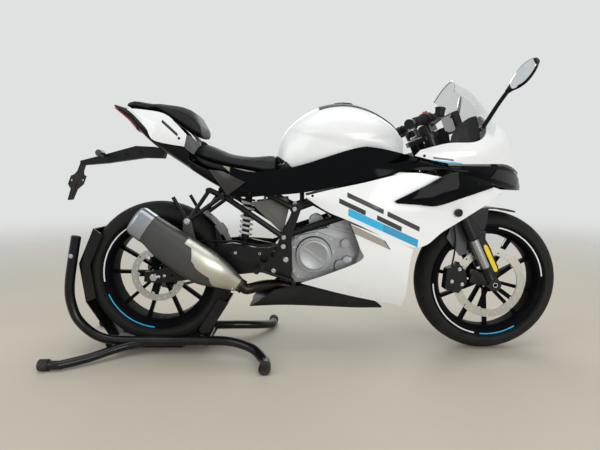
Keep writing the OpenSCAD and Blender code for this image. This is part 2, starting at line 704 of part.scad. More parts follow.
module side_covers() {
  color(trim_grey) both() {
    side_plate(side_cover, side_cover_in, side_cover_in + side_cover_t);
    side_plate(side_cover_step, side_cover_in + side_cover_t - 1, side_cover_in + side_cover_t + 3);
    translate([seat_stay[0], side_cover_in + side_cover_t / 2, 0])
      rod([0, 0, 622], [0, 0, seat_stay[1] - rail_d / 2 - fit], 10);
  }
}

module tank() {
  color(paint_white) intersection() {
    loft(tank_rows);
    union() {
      translate([-300, -300, tank_floor]) cube([585, 600, 400]);
      translate([284, -300, tank_floor + 48]) cube([300, 600, 400]);
    }
  }
}

module tank_cover() {
  color(trim_grey) shell(skin_rails(part_of(smooth(tank_rows, 2), 6, 15), 118, 62, 8), 4, 4.5, 1, 1);
}

module rider_seat() {
  color(rubber) loft(rider_seat_rows);
}

module pillion_seat() {
  color(rubber) loft(pillion_seat_rows);
}

module tail_fairing() {
  color(paint_white) both() {
    shell(tail_fairing_rails);
    boss(tail_stay, 118.4, 137);
  }
}

module undertail() {
  right_edge = [for (k = [len(plate_edge) - 1:-1:0]) [-plate_edge[k][0], plate_edge[k][1]]];
  color(paint_black) {
    loft(undertail_rows);
    rod([-620, 0, 940], [-620, 0, 984 - fit], 24);
    side_plate(plate_arm, -22, 22);
    translate(plate_at) rotate([0, plate_lean, 0]) rotate([90, 0, 90])
      linear_extrude(plate_t, center = true) difference() {
        polygon(concat(plate_edge, right_edge));
        for (y = [-48, 48]) translate([y, -80]) square([20, 9], center = true);
        translate([0, -115]) square([9, 70], center = true);
      }
  }
}

module tail_light() {
  color("#b3131b") shell(skin_rails(part_of(smooth(undertail_rows, 2), 0, 4), 325, 215, 8), 5, 5.5, 1, 1);
}

module indicators() {
  g = panel_grid(side_upper_rails, 3, 2);
  p = g[13][3];
  out = panel_out(g, 13, 3);
  color("#e08a1e") both() {
    rod(p + fit * out, p + 13 * out, 30);
    rod([-838, 22 + 4 * fit, 812], [-842, 60, 816], 12);
    rod([-842, 58, 816], [-844, 92, 818], 26);
  }
}

module frame_covers() {
  color(paint_black) both() {
    shell(frame_cover_rails);
    boss(cover_stay, cover_seat, 200);
    boss(rail_stay, rail_seat, 161);
  }
}

module side_fairings() {
  color(paint_white) both() {
    shell(side_upper_rails);
    boss(fairing_stay, fairing_seat, 221);
    shell(side_lower_rails);
    boss(lower_stay, lower_seat, 197);
  }
}

module wing_panels() {
  g = panel_grid(side_upper_rails, 3, 2);
  p = g[10][1];
  out = panel_out(g, 10, 1);
  color(paint_black) both() {
    shell(wing_rails);
    rod(p + fit * out, p + 22 * out, 10);
  }
}

module upper_fairing() {
  color(paint_white) both() {
    shell(upper_fairing_rails);
    boss(cross_bar_low, cross_bar_half, 184);
  }
}

module nose_trim() {
  along = unit(nose_stay[1] - nose_stay[0]);
  color(paint_black) {
    both() shell(nose_trim_rails);
    rod(nose_stay[1] + fit * along, nose_stay[1] + 65 * along, 14);
  }
}

module headlights() {
  color("#d8dde2") both() shell(nose_trim_rails, thick = 3, lift = 3.5, cols = [5, 10], rows = [1, 3]);
}

module windscreen() {
  color("#c8d2d8") both() shell(screen_rails);
}

module cockpit() {
  g = panel_grid(upper_fairing_rails, 3, 2);
  p = g[5][1];
  out = panel_out(g, 5, 1);
  color(trim_grey) {
    both() {
      shell(cockpit_rails);
      rod(p - (panel_t + fit) * out, p - 22 * out, 10);
    }
    rod([600, 0, 905], [cross_bar_high[0] - 9 - fit, 0, 905], 20);
    translate([578, -72, 900]) rotate([0, -20, 0]) cube([30, 144, 82]);
  }
}

module belly_pan() {
  color(paint_black) {
    both() shell(belly_rails);
    rod([60, 0, 201], [60, 0, 300 - fit], 16);
  }
}

// Mirror head on the left: points of its section at a share of its length
function mirror_point(t, reach, a) = let (
    run = unit(mirror_tip - mirror_foot), back = unit([-1, 0.15, 0] - ([-1, 0.15, 0] * run) * run))
  mirror_foot + t * (mirror_tip - mirror_foot) + reach * cos(a) * cross(back, run)
    + min(reach, mirror_half_t) * sin(a) * back;

module mirrors() {
  color(paint_black) both() {
    cross_rod(cross_bar_high, mirror_seat, 168, 20);
    rod([640, 160, 905], mirror_foot, 17);
    rings([for (r = mirror_rows) for (k = [0:15]) mirror_point(r[0], r[1], 22.5 * k)], 16);
  }
}

module hugger() {
  inner_r = rear_r + hugger_gap;
  wing_half = arm_in - fit;
  color(frame_black) {
    wheel_frame(rear_axle_at) {
      rotate_extrude(angle = 34, start = 22) translate([inner_r, -56]) square([hugger_t, 112]);
      rotate_extrude(angle = 8, start = 32) translate([inner_r, -wing_half])
        square([hugger_t, 2 * wing_half]);
    }
    both() side_plate(concat([for (a = [39, 33]) at_axle(polar(inner_r + hugger_t / 2, a))],
      [[-336, 380], [-372, 376]]), wing_half - 3.7, wing_half);
  }
}

// Chain loop: sprocket centres, lean of its runs, and the lengths of its front arc, a run and its rear arc
rear_xz = [rear_axle_at[0], rear_axle_at[2]];
chain_gap = drive_xz - rear_xz;
chain_lean = acos((rear_pitch_r - drive_pitch_r) / norm(chain_gap));
chain_turn = 360 - 2 * chain_lean;
chain_up = atan2(chain_gap[1], chain_gap[0]) + chain_lean;
chain_down = chain_up - 2 * chain_lean;
front_arc = drive_pitch_r * chain_lean * PI / 90;
chain_run = norm(chain_gap) * sin(chain_lean);
rear_arc = rear_pitch_r * chain_turn * PI / 180;
chain_length = front_arc + 2 * chain_run + rear_arc;

// Point of the chain's loop, as [x, z], at a distance along it from the front sprocket's lower side
function chain_at(d) = let (over = d - front_arc, behind = over - chain_run, under = behind - rear_arc)
  over < 0 ? drive_xz + polar(drive_pitch_r, chain_down + 2 * chain_lean * d / front_arc)
  : behind < 0 ? drive_xz + polar(drive_pitch_r, chain_up) + polar(over, chain_up + 90)
  : under < 0 ? rear_xz + polar(rear_pitch_r, chain_up + chain_turn * behind / rear_arc)
  : rear_xz + polar(rear_pitch_r, chain_down) + polar(under, chain_down + 90);

module chain_loop(grow) {
  hull() {
    translate(drive_xz) circle(drive_pitch_r + grow, $fn = 32);
    translate(rear_xz) circle(rear_pitch_r + grow, $fn = 32);
  }
}

module chain() {
  links = round(chain_length / chain_pitch);
  color(trim_grey) translate([0, chain_out, 0]) rotate([90, 0, 0])
    linear_extrude(chain_out - chain_in) union() {
      difference() {
        chain_loop(link_waist / 2);
        chain_loop(-link_waist / 2);
      }
      for (k = [0:links - 1]) translate(chain_at(k * chain_length / links)) circle(d = chain_h, $fn = 12);
    }
}

// Room for a brake disc in its caliper
module disc_slot(at, y, d) {
  wheel_frame(at) translate([0, 0, y - 11]) cylinder(h = disc_t + 16, d = d + 10);
}

module rear_caliper() {
  color(trim_grey) difference() {
    translate(rear_axle_at) side_plate(rear_caliper_outline, -arm_in + fit, -42);
    disc_slot(rear_axle_at, rear_disc_y, rear_disc_d);
  }
}

module rear_axle() {
  color(steel) wheel_frame(rear_axle_at) {
    translate([0, 0, -arm_out - 14]) cylinder(h = 2 * arm_out + 28, r = axle_r);
    translate([0, 0, rear_disc_y + carrier_rise + fit])
      cylinder(h = arm_in - rear_disc_y - carrier_rise - 2 * fit, r = axle_r + 7);
    translate([0, 0, fit - arm_in]) cylinder(h = arm_in - chain_in - 3 - 2 * fit, r = axle_r + 7);
    for (s = [-1, 1]) translate([0, 0, s * (arm_out + 6 + fit)])
      cylinder(h = 12, d = 32, center = true, $fn = 6);
  }
}

module fork_tubes() {
  color(paint_black) both() fork_frame() translate([0, fork_y, stanchion_top])
    cylinder(h = fork_top - stanchion_top, d = fork_tube_d);
}

module fork_sliders() {
  color(steel) both() fork_frame() translate([0, fork_y, foot_top])
    cylinder(h = stanchion_top - foot_top, d = stanchion_d);
}

module fork_feet() {
  color(frame_black) both() difference() {
    union() {
      fork_frame() translate([0, fork_y, 0]) cylinder(h = foot_top, d = stanchion_d + 8);
      wheel_frame(front_axle_at) translate([0, 0, -fork_y - foot_half]) cylinder(h = 2 * foot_half, d = 50);
      translate(front_axle_at) side_plate(caliper_lug, fork_y - 14, fork_y + 6);
    }
    wheel_frame(front_axle_at) translate([0, 0, -200]) cylinder(h = 400, r = axle_r + fit);
  }
}

module yoke(s, t) {
  translate([0, 0, s]) difference() {
    union() {
      linear_extrude(t) polygon([
        [-yoke_offset - 34, -30], [-yoke_offset - 34, 30], [-24, fork_y + 30], [30, fork_y + 26],
        [34, fork_y - 30], [16, 0], [34, -fork_y + 30], [30, -fork_y - 26], [-24, -fork_y - 30]
      ]);
      for (y = [-1, 1]) translate([0, y * fork_y, 0]) cylinder(h = t, r = fork_tube_d / 2 + 10);
    }
    for (y = [-1, 1]) translate([0, y * fork_y, -1]) cylinder(h = t + 2, r = fork_tube_d / 2 + fit);
  }
}

module triple_clamps() {
  color(frame_black) fork_frame() {
    yoke(lower_yoke_s, lower_yoke_t);
    yoke(upper_yoke_s, upper_yoke_t);
    translate([-yoke_offset, 0, lower_yoke_s + 2]) cylinder(h = upper_yoke_s - lower_yoke_s, r = stem_r);
  }
}

// Point on the left handlebar at a distance from its inner end
function bar_at(t) = bar_in + t * bar_dir;

module handlebars() {
  color(paint_black) both() {
    difference() {
      union() {
        fork_frame() translate([0, fork_y, bar_clamp_s]) cylinder(h = bar_clamp_t, r = fork_tube_d / 2 + 8);
        rod([446, fork_y + 38, 922] + fork_shift, bar_at(8), 26);
        fork_frame() translate([0, fork_y + 28, bar_clamp_s]) cube([26, 20, bar_clamp_t]);
      }
      fork_frame() translate([0, fork_y, bar_clamp_s - 1])
        cylinder(h = bar_clamp_t + 2, r = fork_tube_d / 2 + fit);
    }
    rod(bar_in, bar_out, bar_d);
    rod(bar_out + fit * bar_dir, bar_out + 22 * bar_dir, grip_d);
  }
}

module sleeve(t0, t1, d) {
  difference() {
    rod(bar_at(t0), bar_at(t1), d);
    rod(bar_at(t0 - 1), bar_at(t1 + 1), bar_d + 2 * fit);
  }
}

module grips() {
  color(rubber) both() sleeve(140, 256, grip_d);
}

module controls() {
  color(paint_black) both() {
    sleeve(84, 136, switch_d);
    rod(bar_at(100) + [44, 14, -4], bar_at(250) + [66, 0, -6], 12);
    rod(bar_at(100) + [18, 6, -1], bar_at(100) + [46, 14, -4], 14);
  }
}

module front_fender() {
  color(paint_black) {
    wheel_frame(front_axle_at) rotate_extrude(angle = 78, start = 72)
      translate([front_r + 8, -fender_half]) square([6, 2 * fender_half]);
    translate(front_axle_at) both() {
      side_plate(fender_side, fender_half - 4, fender_half);
      side_plate(fender_tail, fender_half - 3.8, fender_half - 0.2);
      side_plate(fender_lug, fender_half - 2, fender_half + 12);
      side_plate(fender_foot, fender_half + 7, fork_y - stanchion_d / 2 - fit);
    }
  }
}

module front_caliper() {
  color(cast_silver) difference() {
    translate(front_axle_at) side_plate(front_caliper_outline, -fork_y + 14 + fit, -40);
    disc_slot(front_axle_at, front_disc_y, front_disc_d);
  }
}

module front_axle() {
  color(steel) wheel_frame(front_axle_at) difference() {
    union() {
      translate([0, 0, -126]) cylinder(h = 252, r = axle_r);
      translate([0, 0, front_disc_y + carrier_rise + fit])
        cylinder(h = fork_y - foot_half - front_disc_y - carrier_rise - 2 * fit, r = axle_r + 6);
      translate([0, 0, foot_half + fit - fork_y])
        cylinder(h = fork_y - foot_half - front_hub_half - 2 * fit, r = axle_r + 6);
    }
    translate([0, 0, -130]) cylinder(h = 260, d = axle_bore);
  }
}

// Tyre section from bead to bead, points [radius, across]
function tyre_section(r, half, bead_half) = let (mid = bead_r + 0.4 * (r - bead_r), rise = r - mid) concat(
  [for (a = [-100:12.5:100]) [mid + rise * cos(a), half * sin(a)]],
  [[bead_r + flange_h + 3, bead_half - 0.5], [bead_r + fit, bead_half - 0.5],
   [bead_r + fit, 0.5 - bead_half], [bead_r + flange_h + 3, 0.5 - bead_half]]);

module tyre(at, d, w, bead_half) {
  color(rubber) wheel_frame(at) rotate_extrude($fn = 64) polygon(tyre_section(d / 2, w / 2, bead_half));
}

module rim(at, bead_half, hub_half, start) {
  flange_r = bead_r + flange_h;
  wheel_frame(at) difference() {
    union() {
      rotate_extrude($fn = 64) polygon([[bead_r, -bead_half], [flange_r, -bead_half],
        [flange_r, -bead_half - flange_t], [bead_r - 6, -bead_half - flange_t], [rim_inner_r, 16 - bead_half],
        [rim_inner_r, bead_half - 16], [bead_r - 6, bead_half + flange_t], [flange_r, bead_half + flange_t],
        [flange_r, bead_half], [bead_r, bead_half]]);
      translate([0, 0, -hub_half]) cylinder(h = 2 * hub_half, r = hub_r);
      for (k = [0:spoke_pairs - 1]) for (s = [-1, 1]) rotate(start + 360 / spoke_pairs * k)
        translate([0, 0, -11]) linear_extrude(22) polygon([polar(hub_r - 8, s * 8), polar(hub_r - 8, s * 34),
          polar(rim_inner_r + 4, s * 18), polar(rim_inner_r + 4, s * 14)]);
      children();
    }
    translate([0, 0, -hub_half - 40]) cylinder(h = 2 * hub_half + 80, r = axle_r + fit);
  }
}

// Arms that carry a disc, on the right side of the hub
module disc_arms(hub_half, y, r) {
  translate([0, 0, hub_half - 1]) cylinder(h = y + carrier_rise - hub_half + 1, r = hub_r + 6);
  for (a = [36:72:324]) rotate(a) translate([hub_r, -9, y - 6]) cube([r - hub_r, 18, 6]);
}

module disc(at, y, d, width) {
  color(steel) wheel_frame(at) translate([0, 0, y]) linear_extrude(disc_t) difference() {
    circle(d = d);
    circle(d = d - 2 * width);
    for (k = [0:23]) rotate(15 * k) translate([d / 2 - width * (0.3 + 0.2 * (k % 3)), 0])
      circle(d = 7, $fn = 16);
  }
}

module front_tyre() {
  tyre(front_axle_at, front_tyre_d, front_tyre_w, front_bead_half);
}

module rear_tyre() {
  tyre(rear_axle_at, rear_tyre_d, rear_tyre_w, rear_bead_half);
}

module front_rim() {
  color(paint_black) rim(front_axle_at, front_bead_half, front_hub_half, 42)
    disc_arms(front_hub_half, front_disc_y, front_disc_d / 2 - 22);
}

module rear_rim() {
  color(paint_black) rim(rear_axle_at, rear_bead_half, rear_hub_half, 20) {
    disc_arms(rear_hub_half, rear_disc_y, rear_disc_d / 2 - 18);
    translate([0, 0, -chain_in - 3]) cylinder(h = chain_in + 4 - rear_hub_half, r = hub_r + 14);
  }
}

module front_disc() {
  disc(front_axle_at, front_disc_y, front_disc_d, 33);
}

module rear_disc() {
  disc(rear_axle_at, rear_disc_y, rear_disc_d, 26);
}

module rear_sprocket() {
  r = rear_pitch_r - chain_h / 2 - 1;
  color(trim_grey) wheel_frame(rear_axle_at) translate([0, 0, -chain_in - 3 - 7]) difference() {
    cylinder(h = 7, r = r);
    translate([0, 0, -1]) cylinder(h = 9, r = 30);
    for (a = [0:60:300]) rotate(a) translate([58, 0, -1]) cylinder(h = 9, r = 13);
  }
}

module side_stand() {
  color(frame_black) {
    cross_rod(stand_xz, stand_in, stand_in + 16, 34);
    rod([stand_xz[0], stand_in + 12.5, stand_xz[1]], [-330, 204, 322], 22);
    rod([-322, 201, 310], [-322, 203, 330], 46);
  }
}

function out_from_axle(p, t) = p * (1 + t / norm(p));

module chock_frame() {
  bar_out_by = cradle_t + chock_bar_d / 2 + fit;
  color(chock_black) {
    both() translate([rear_shift[0], 0, 0]) {
      sweep(concat(smooth(chock_path, 2), [chock_front_end]), chock_tube_d, 12, [0.35, 0.3, 1]);
      sweep(concat(smooth(chock_rear_path, 2), [chock_rear_end]), chock_tube_d - 4, 12, [0, 0.1, 1]);
    }
    for (k = [3, 6])
      cross_rod(at_axle(out_from_axle(wheel_scale * cradle_line[k], bar_out_by) - [0, fit]),
        -chock_y, chock_y, chock_bar_d);
  }
}

module chock_cradle() {
  line = wheel_scale * cradle_line;
  inner = [for (p = line) at_axle(p - [0, fit])];
  outer = [for (p = line) at_axle(out_from_axle(p, cradle_t) - [0, fit])];
  lip = [for (p = line) at_axle(p * (1 - cradle_flange_depth))];
  n = len(cradle_line) - 1;
  color(chock_black) {
    side_plate(concat(inner, [for (i = [n:-1:0]) outer[i]]), -cradle_half, cradle_half);
    for (s = [-1, 1]) {
      y0 = s > 0 ? cradle_flange_in : -cradle_half;
      y1 = y0 + cradle_half - cradle_flange_in;
      side_plate([outer[0], outer[1], outer[2], lip[2], lip[1], lip[0]], y0, y1);
      side_plate([outer[6], outer[7], lip[7], lip[6]], y0, y1);
    }
  }
}

module chock_feet() {
  color(rubber) both() translate([rear_shift[0], 0, 0]) {
    rod(chock_front_end + [0, fit, 0], chock_front_end + [0, foot_len, 0], foot_d);
    rod(chock_rear_end - [fit, 0, 0], chock_rear_end - [foot_len, 0, 0], foot_d);
  }
}

main_frame();
subframe();
swingarm();
rear_shock();
engine();
exhaust_header();
muffler();
muffler_trim();
radiator();
footrests();
side_covers();
tank();
tank_cover();
rider_seat();
pillion_seat();
tail_fairing();
undertail();
tail_light();
indicators();
frame_covers();
side_fairings();
wing_panels();
upper_fairing();
nose_trim();
headlights();
windscreen();
cockpit();
belly_pan();
mirrors();
hugger();
chain();
rear_caliper();
rear_axle();
fork_tubes();
fork_sliders();
fork_feet();
triple_clamps();
handlebars();
grips();
controls();
front_fender();
front_caliper();
front_axle();
front_tyre();
front_rim();
front_disc();
rear_tyre();
rear_rim();
rear_disc();
rear_sprocket();
side_stand();
chock_frame();
chock_cradle();
chock_feet();
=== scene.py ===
"""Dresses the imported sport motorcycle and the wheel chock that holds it, for a studio picture."""

import logging
import math
from dataclasses import dataclass, replace
from enum import Enum
from functools import cache
from typing import Callable, Self, Sequence

import bmesh
import bpy
import numpy as np
from bpy.types import Material, Mesh, Node, NodeSocket, NodeTree, Object
from mathutils import Matrix, Vector
from mathutils.bvhtree import BVHTree


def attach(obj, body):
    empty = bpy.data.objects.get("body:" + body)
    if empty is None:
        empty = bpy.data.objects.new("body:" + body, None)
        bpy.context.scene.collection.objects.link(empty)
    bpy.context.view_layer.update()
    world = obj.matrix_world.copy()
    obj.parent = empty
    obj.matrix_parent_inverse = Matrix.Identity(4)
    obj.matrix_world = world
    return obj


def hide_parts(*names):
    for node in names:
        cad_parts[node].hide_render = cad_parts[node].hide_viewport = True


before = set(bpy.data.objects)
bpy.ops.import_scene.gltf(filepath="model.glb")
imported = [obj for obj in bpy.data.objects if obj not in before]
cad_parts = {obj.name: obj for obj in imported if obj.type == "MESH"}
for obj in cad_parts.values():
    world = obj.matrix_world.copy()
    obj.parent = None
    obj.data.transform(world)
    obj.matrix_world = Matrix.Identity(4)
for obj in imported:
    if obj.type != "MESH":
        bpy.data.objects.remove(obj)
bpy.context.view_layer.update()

LOG = logging.getLogger("motorcycle")
MM = 0.001

Pair = tuple[float, float]
Point = tuple[float, float, float]
Spot = Sequence[float]
Route = tuple[Point, ...]
Rails = tuple[Route, ...]
Rows = tuple[tuple[float, float, float, float, float, float], ...]
Colour = tuple[float, float, float]
Outline = Sequence[Pair]

RIGHT: Point = (0.0, -1.0, 0.0)
LEFT: Point = (0.0, 1.0, 0.0)


class Body(Enum):
    """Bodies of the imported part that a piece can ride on."""

    CHASSIS = "chassis"
    STEERING = "steering"
    FRONT_WHEEL = "front_wheel"
    REAR_WHEEL = "rear_wheel"
    SIDE_STAND = "side_stand"


class Lay(Enum):
    """Ways that the fine lines of a brushed metal run."""

    STRAIGHT = "straight"
    ROUND = "round"


def rgb(code: str) -> Colour:
    """Turns a hex colour into the linear values that shader sockets take."""
    parts = [int(code[i : i + 2], 16) / 255 for i in (1, 3, 5)]
    return tuple(p / 12.92 if p <= 0.04045 else ((p + 0.055) / 1.055) ** 2.4 for p in parts)


def smooth_line(points: np.ndarray, steps: int) -> np.ndarray:
    """Runs a smooth curve through a list of points, or a smooth sheet through a list of rows.

    Args:
        points: Points, or rows of points, along the first axis.
        steps: Pieces that each span is cut into.

    Returns:
        The points of the curve, with the given ones among them.
    """
    pts = np.asarray(points, float)
    a = pts[np.maximum(np.arange(len(pts) - 1) - 1, 0)]
    b, c = pts[:-1], pts[1:]
    d = pts[np.minimum(np.arange(len(pts) - 1) + 2, len(pts) - 1)]
    spans = []
    for t in np.arange(steps) / steps:
        bend = (2 * a - 5 * b + 4 * c - d) * t * t + (3 * b - a - 3 * c + d) * t**3
        spans.append(0.5 * (2 * b + (c - a) * t + bend))
    inner = np.stack(spans, axis=1).reshape((-1,) + pts.shape[1:])
    return np.concatenate([inner, pts[-1:]])


def ease(value: np.ndarray, low: float, high: float) -> np.ndarray:
    """Goes smoothly from 0 at low to 1 at high."""
    t = np.clip((value - low) / (high - low), 0, 1)
    return t * t * (3 - 2 * t)


def unit(vector: Spot) -> np.ndarray:
    """Scales a vector to length 1."""
    v = np.asarray(vector, float)
    return v / np.linalg.norm(v)


def panel_net(rails: Rails, along: int, down: int) -> np.ndarray:
    """Spreads a smooth sheet over a panel's rails, by row from its upper edge, then column."""
    rows = np.array([smooth_line(np.array(r), along) for r in rails])
    return smooth_line(rows, down)


def net_outward(net: np.ndarray) -> np.ndarray:
    """Finds the outward direction at each point of a panel net.

    Args:
        net: Points by row, then column, rows from the upper edge down, columns forward.

    Returns:
        Unit vectors in the net's layout.
    """
    across = np.gradient(net, axis=1)
    down = np.gradient(net, axis=0)
    out = np.cross(across, down)
    out[np.abs(net[..., 1]) < 0.01, 1] = 0
    return out / np.linalg.norm(out, axis=-1, keepdims=True)


def both_sides(net: np.ndarray) -> list[np.ndarray]:
    """Gives a left sheet with its mirror image, as one sheet where they meet at the middle plane.

    Args:
        net: Points of the left sheet by row, then column.

    Returns:
        One joined sheet, or the left and the right one.
    """
    flipped = net * np.array([1, -1, 1])
    if np.abs(net[:, -1, 1]).max() < 0.01:
        return [np.concatenate([net, flipped[:, -2::-1]], axis=1)]
    if np.abs(net[-1, :, 1]).max() < 0.01:
        return [np.concatenate([net, flipped[-2::-1]], axis=0)]
    return [net, flipped[:, ::-1]]


def drape(net: np.ndarray, corners: Sequence[Spot], along: int, down: int) -> np.ndarray:
    """Lays a four-cornered patch, given in the side view, on a left sheet.

    Args:
        net: Points of the sheet by row, then column.
        corners: Upper rear, upper front, lower front and lower rear corner, as x and z.
        along: Steps along the patch.
        down: Steps down the patch.

    Returns:
        Points of the patch by row, then column.
    """
    rows, cols = net.shape[:2]
    faces = [(i * cols + j, (i + 1) * cols + j, (i + 1) * cols + j + 1, i * cols + j + 1)
             for i in range(rows - 1) for j in range(cols - 1)]
    tree = BVHTree.FromPolygons([Vector(p) for p in net.reshape(-1, 3)], faces)
    a, b, c, d = (np.array(p, float) for p in corners)
    s = np.linspace(0, 1, along + 1)[None, :, None]
    t = np.linspace(0, 1, down + 1)[:, None, None]
    flat = (1 - t) * ((1 - s) * a + s * b) + t * ((1 - s) * d + s * c)
    patch = []
    for x, z in flat.reshape(-1, 2):
        hit = tree.ray_cast(Vector((x, 500, z)), Vector(RIGHT))[0]
        hit = hit or tree.find_nearest(Vector((x, net[..., 1].mean(), z)))[0]
        patch.append((x, hit.y, z))
    return np.array(patch).reshape(down + 1, along + 1, 3)


class MeshKit:
    """Collects points in millimetres and faces, and makes one Blender mesh of them."""

    def __init__(self) -> None:
        """Starts empty."""
        self.points: list[np.ndarray] = []
        self.faces: list[tuple[int, ...]] = []
        self.count = 0

    def add(self, points: np.ndarray, faces: Sequence[Sequence[int]]) -> Self:
        """Adds points and the faces between them.

        Args:
            points: Points in millimetres.
            faces: Faces that count from the first of these points.

        Returns:
            This kit.
        """
        pts = np.asarray(points, float).reshape(-1, 3)
        self.faces += [tuple(self.count + i for i in f) for f in faces]
        self.points.append(pts)
        self.count += len(pts)
        return self

    def net(self, net: np.ndarray, loop_rows: bool = False, loop_cols: bool = False,
            cap: bool = False) -> Self:
        """Adds a sheet of four-sided faces.

        Args:
            net: Points by row, then column.
            loop_rows: Joins the last row to the first.
            loop_cols: Joins the last column to the first.
            cap: Closes the first and the last row with a face.

        Returns:
            This kit.
        """
        rows, cols = net.shape[:2]
        last_row = rows if loop_rows else rows - 1
        last_col = cols if loop_cols else cols - 1
        faces = []
        for i in range(last_row):
            for j in range(last_col):
                k, l = (i + 1) % rows, (j + 1) % cols
                faces.append((i * cols + j, k * cols + j, k * cols + l, i * cols + l))
        if cap:
            faces.append(tuple(range(cols)))
            faces.append(tuple((rows - 1) * cols + j for j in reversed(range(cols))))
        return self.add(net, faces)

    def shell(self, net: np.ndarray, thick: float, lift: float = 0.0) -> Self:
        """Adds a moulded panel of even thickness under a sheet.

        Args:
            net: Points of the outer face by row, then column.
            thick: Thickness in millimetres.
            lift: Height of the outer face over the net.

        Returns:
            This kit.
        """
        out = net_outward(net)
        rows, cols = net.shape[:2]
        size = rows * cols
        faces = []
        for i in range(rows - 1):
            for j in range(cols - 1):
                a, b = i * cols + j, (i + 1) * cols + j
                faces.append((a, b, b + 1, a + 1))
                faces.append((size + a, size + a + 1, size + b + 1, size + b))
        rim = [*range(cols), *(i * cols + cols - 1 for i in range(1, rows))]
        rim += [(rows - 1) * cols + j for j in reversed(range(cols - 1))]
        rim += [i * cols for i in reversed(range(1, rows - 1))]
        for a, b in zip(rim, rim[1:] + rim[:1]):
            faces.append((a, b, size + b, size + a))
        return self.add(np.concatenate([net + lift * out, net + (lift - thick) * out]), faces)

    def twin_shell(self, net: np.ndarray, thick: float, lift: float = 0.0) -> Self:
        """Adds a moulded panel on both sides of the bike, in one where the sides meet.

        Args:
            net: Points of the left outer face by row, then column.
            thick: Thickness in millimetres.
            lift: Height of the outer face over the net.

        Returns:
            This kit.
        """
        for half in both_sides(net):
            self.shell(half, thick, lift)
        return self

    def tube(self, path: np.ndarray, d: float | np.ndarray, sides: int = 20, cap: bool = True) -> Self:
        """Adds a round tube along a route.

        Args:
            path: Points of the route.
            d: Diameter, or one for each point.
            sides: Faces round the tube.
            cap: Closes both ends.

        Returns:
            This kit.
        """
        pts = np.asarray(path, float)
        run = np.gradient(pts, axis=0)
        run /= np.linalg.norm(run, axis=1, keepdims=True)
        guide = np.array([0, 0, 1.0]) if abs(run[0][2]) < 0.9 else np.array([1.0, 0, 0])
        side = np.cross(run[0], guide)
        radii = np.broadcast_to(np.asarray(d, float) / 2, len(pts))
        turn = np.arange(sides) * 2 * math.pi / sides
        rings = []
        for p, t, r in zip(pts, run, radii):
            side = unit(side - np.dot(side, t) * t)
            rise = np.cross(t, side)
            rings.append(p + r * (np.outer(np.cos(turn), side) + np.outer(np.sin(turn), rise)))
        return self.net(np.array(rings), loop_cols=True, cap=cap)

    def bar(self, start: Spot, end: Spot, d: float, sides: int = 24) -> Self:
        """Adds a straight round bar between two points."""
        return self.tube(np.array([start, end], float), d, sides)

    def revolve(self, profile: Outline, at: Spot, axis: Spot,
                sides: int = 32, closed: bool = False) -> Self:
        """Adds a turned form.

        Args:
            profile: Radius and place along the axis of each point of the section.
            at: Origin of the axis.
            axis: Direction of the axis.
            sides: Faces round the axis.
            closed: The section is a closed ring that doesn't meet the axis.

        Returns:
            This kit.
        """
        run = unit(axis)
        side = unit(np.cross(run, [0, 0, 1.0] if abs(run[2]) < 0.9 else [1.0, 0, 0]))
        rise = np.cross(run, side)
        turn = np.arange(sides) * 2 * math.pi / sides
        ring = np.outer(np.cos(turn), side) + np.outer(np.sin(turn), rise)
        net = np.array([np.asarray(at) + s * run + r * ring for r, s in profile])
        return self.net(net, loop_rows=closed, loop_cols=True, cap=not closed)

    def plate(self, outline: Outline, low: float, high: float) -> Self:
        """Adds a flat plate with an outline in the side view, between two half widths."""
        net = np.array([[(x, y, z) for x, z in outline] for y in (low, high)])
        return self.net(net, loop_cols=True, cap=True)

    def block(self, low: Spot, high: Spot) -> Self:
        """Adds a block between two corners."""
        (x0, y0, z0), (x1, y1, z1) = low, high
        return self.plate([(x0, z0), (x1, z0), (x1, z1), (x0, z1)], y0, y1)

    def bolt(self, at: Spot, axis: Spot, d: float, height: float) -> Self:
        """Adds a round socket-head bolt that stands out of a face.

        Args:
            at: Middle of the head's seat.
            axis: Direction that the head faces.
            d: Diameter of the head.
            height: Height of the head.

        Returns:
            This kit.
        """
        r, socket = d / 2, d / 4
        profile = [(r * 1.25, -0.5), (r * 1.25, 0.8), (r, 0.8), (r, height * 0.8), (r * 0.86, height),
                   (socket, height), (socket * 0.9, height * 0.45)]
        return self.revolve(profile, at, axis, 18)

    def nut(self, at: Spot, axis: Spot, d: float, height: float) -> Self:
        """Adds a six-sided nut on a washer.

        Args:
            at: Middle of the washer's seat.
            axis: Direction that the nut faces.
            d: Width of the nut.
            height: Height of the nut.

        Returns:
            This kit.
        """
        r = d / 2
        self.revolve([(r * 1.3, -0.5), (r * 1.3, height * 0.2)], at, axis, 24)
        return self.revolve([(r, height * 0.2), (r, height * 0.9), (r * 0.88, height)], at, axis, 6)

    def moved(self, matrix: Matrix) -> Self:
        """Moves all points by a matrix given in millimetres.

        Args:
            matrix: The move, in millimetres.

        Returns:
            This kit.
        """
        m = np.array(matrix)
        self.points = [p @ m[:3, :3].T + m[:3, 3] for p in self.points]
        return self

    def mirrored(self) -> Self:
        """Adds the same pieces on the other side of the middle plane.

        Returns:
            This kit.
        """
        size = self.count
        flipped = [p * np.array([1, -1, 1]) for p in self.points]
        faces = [tuple(size + i for i in reversed(f)) for f in self.faces]
        self.points += flipped
        self.faces += faces
        self.count *= 2
        return self

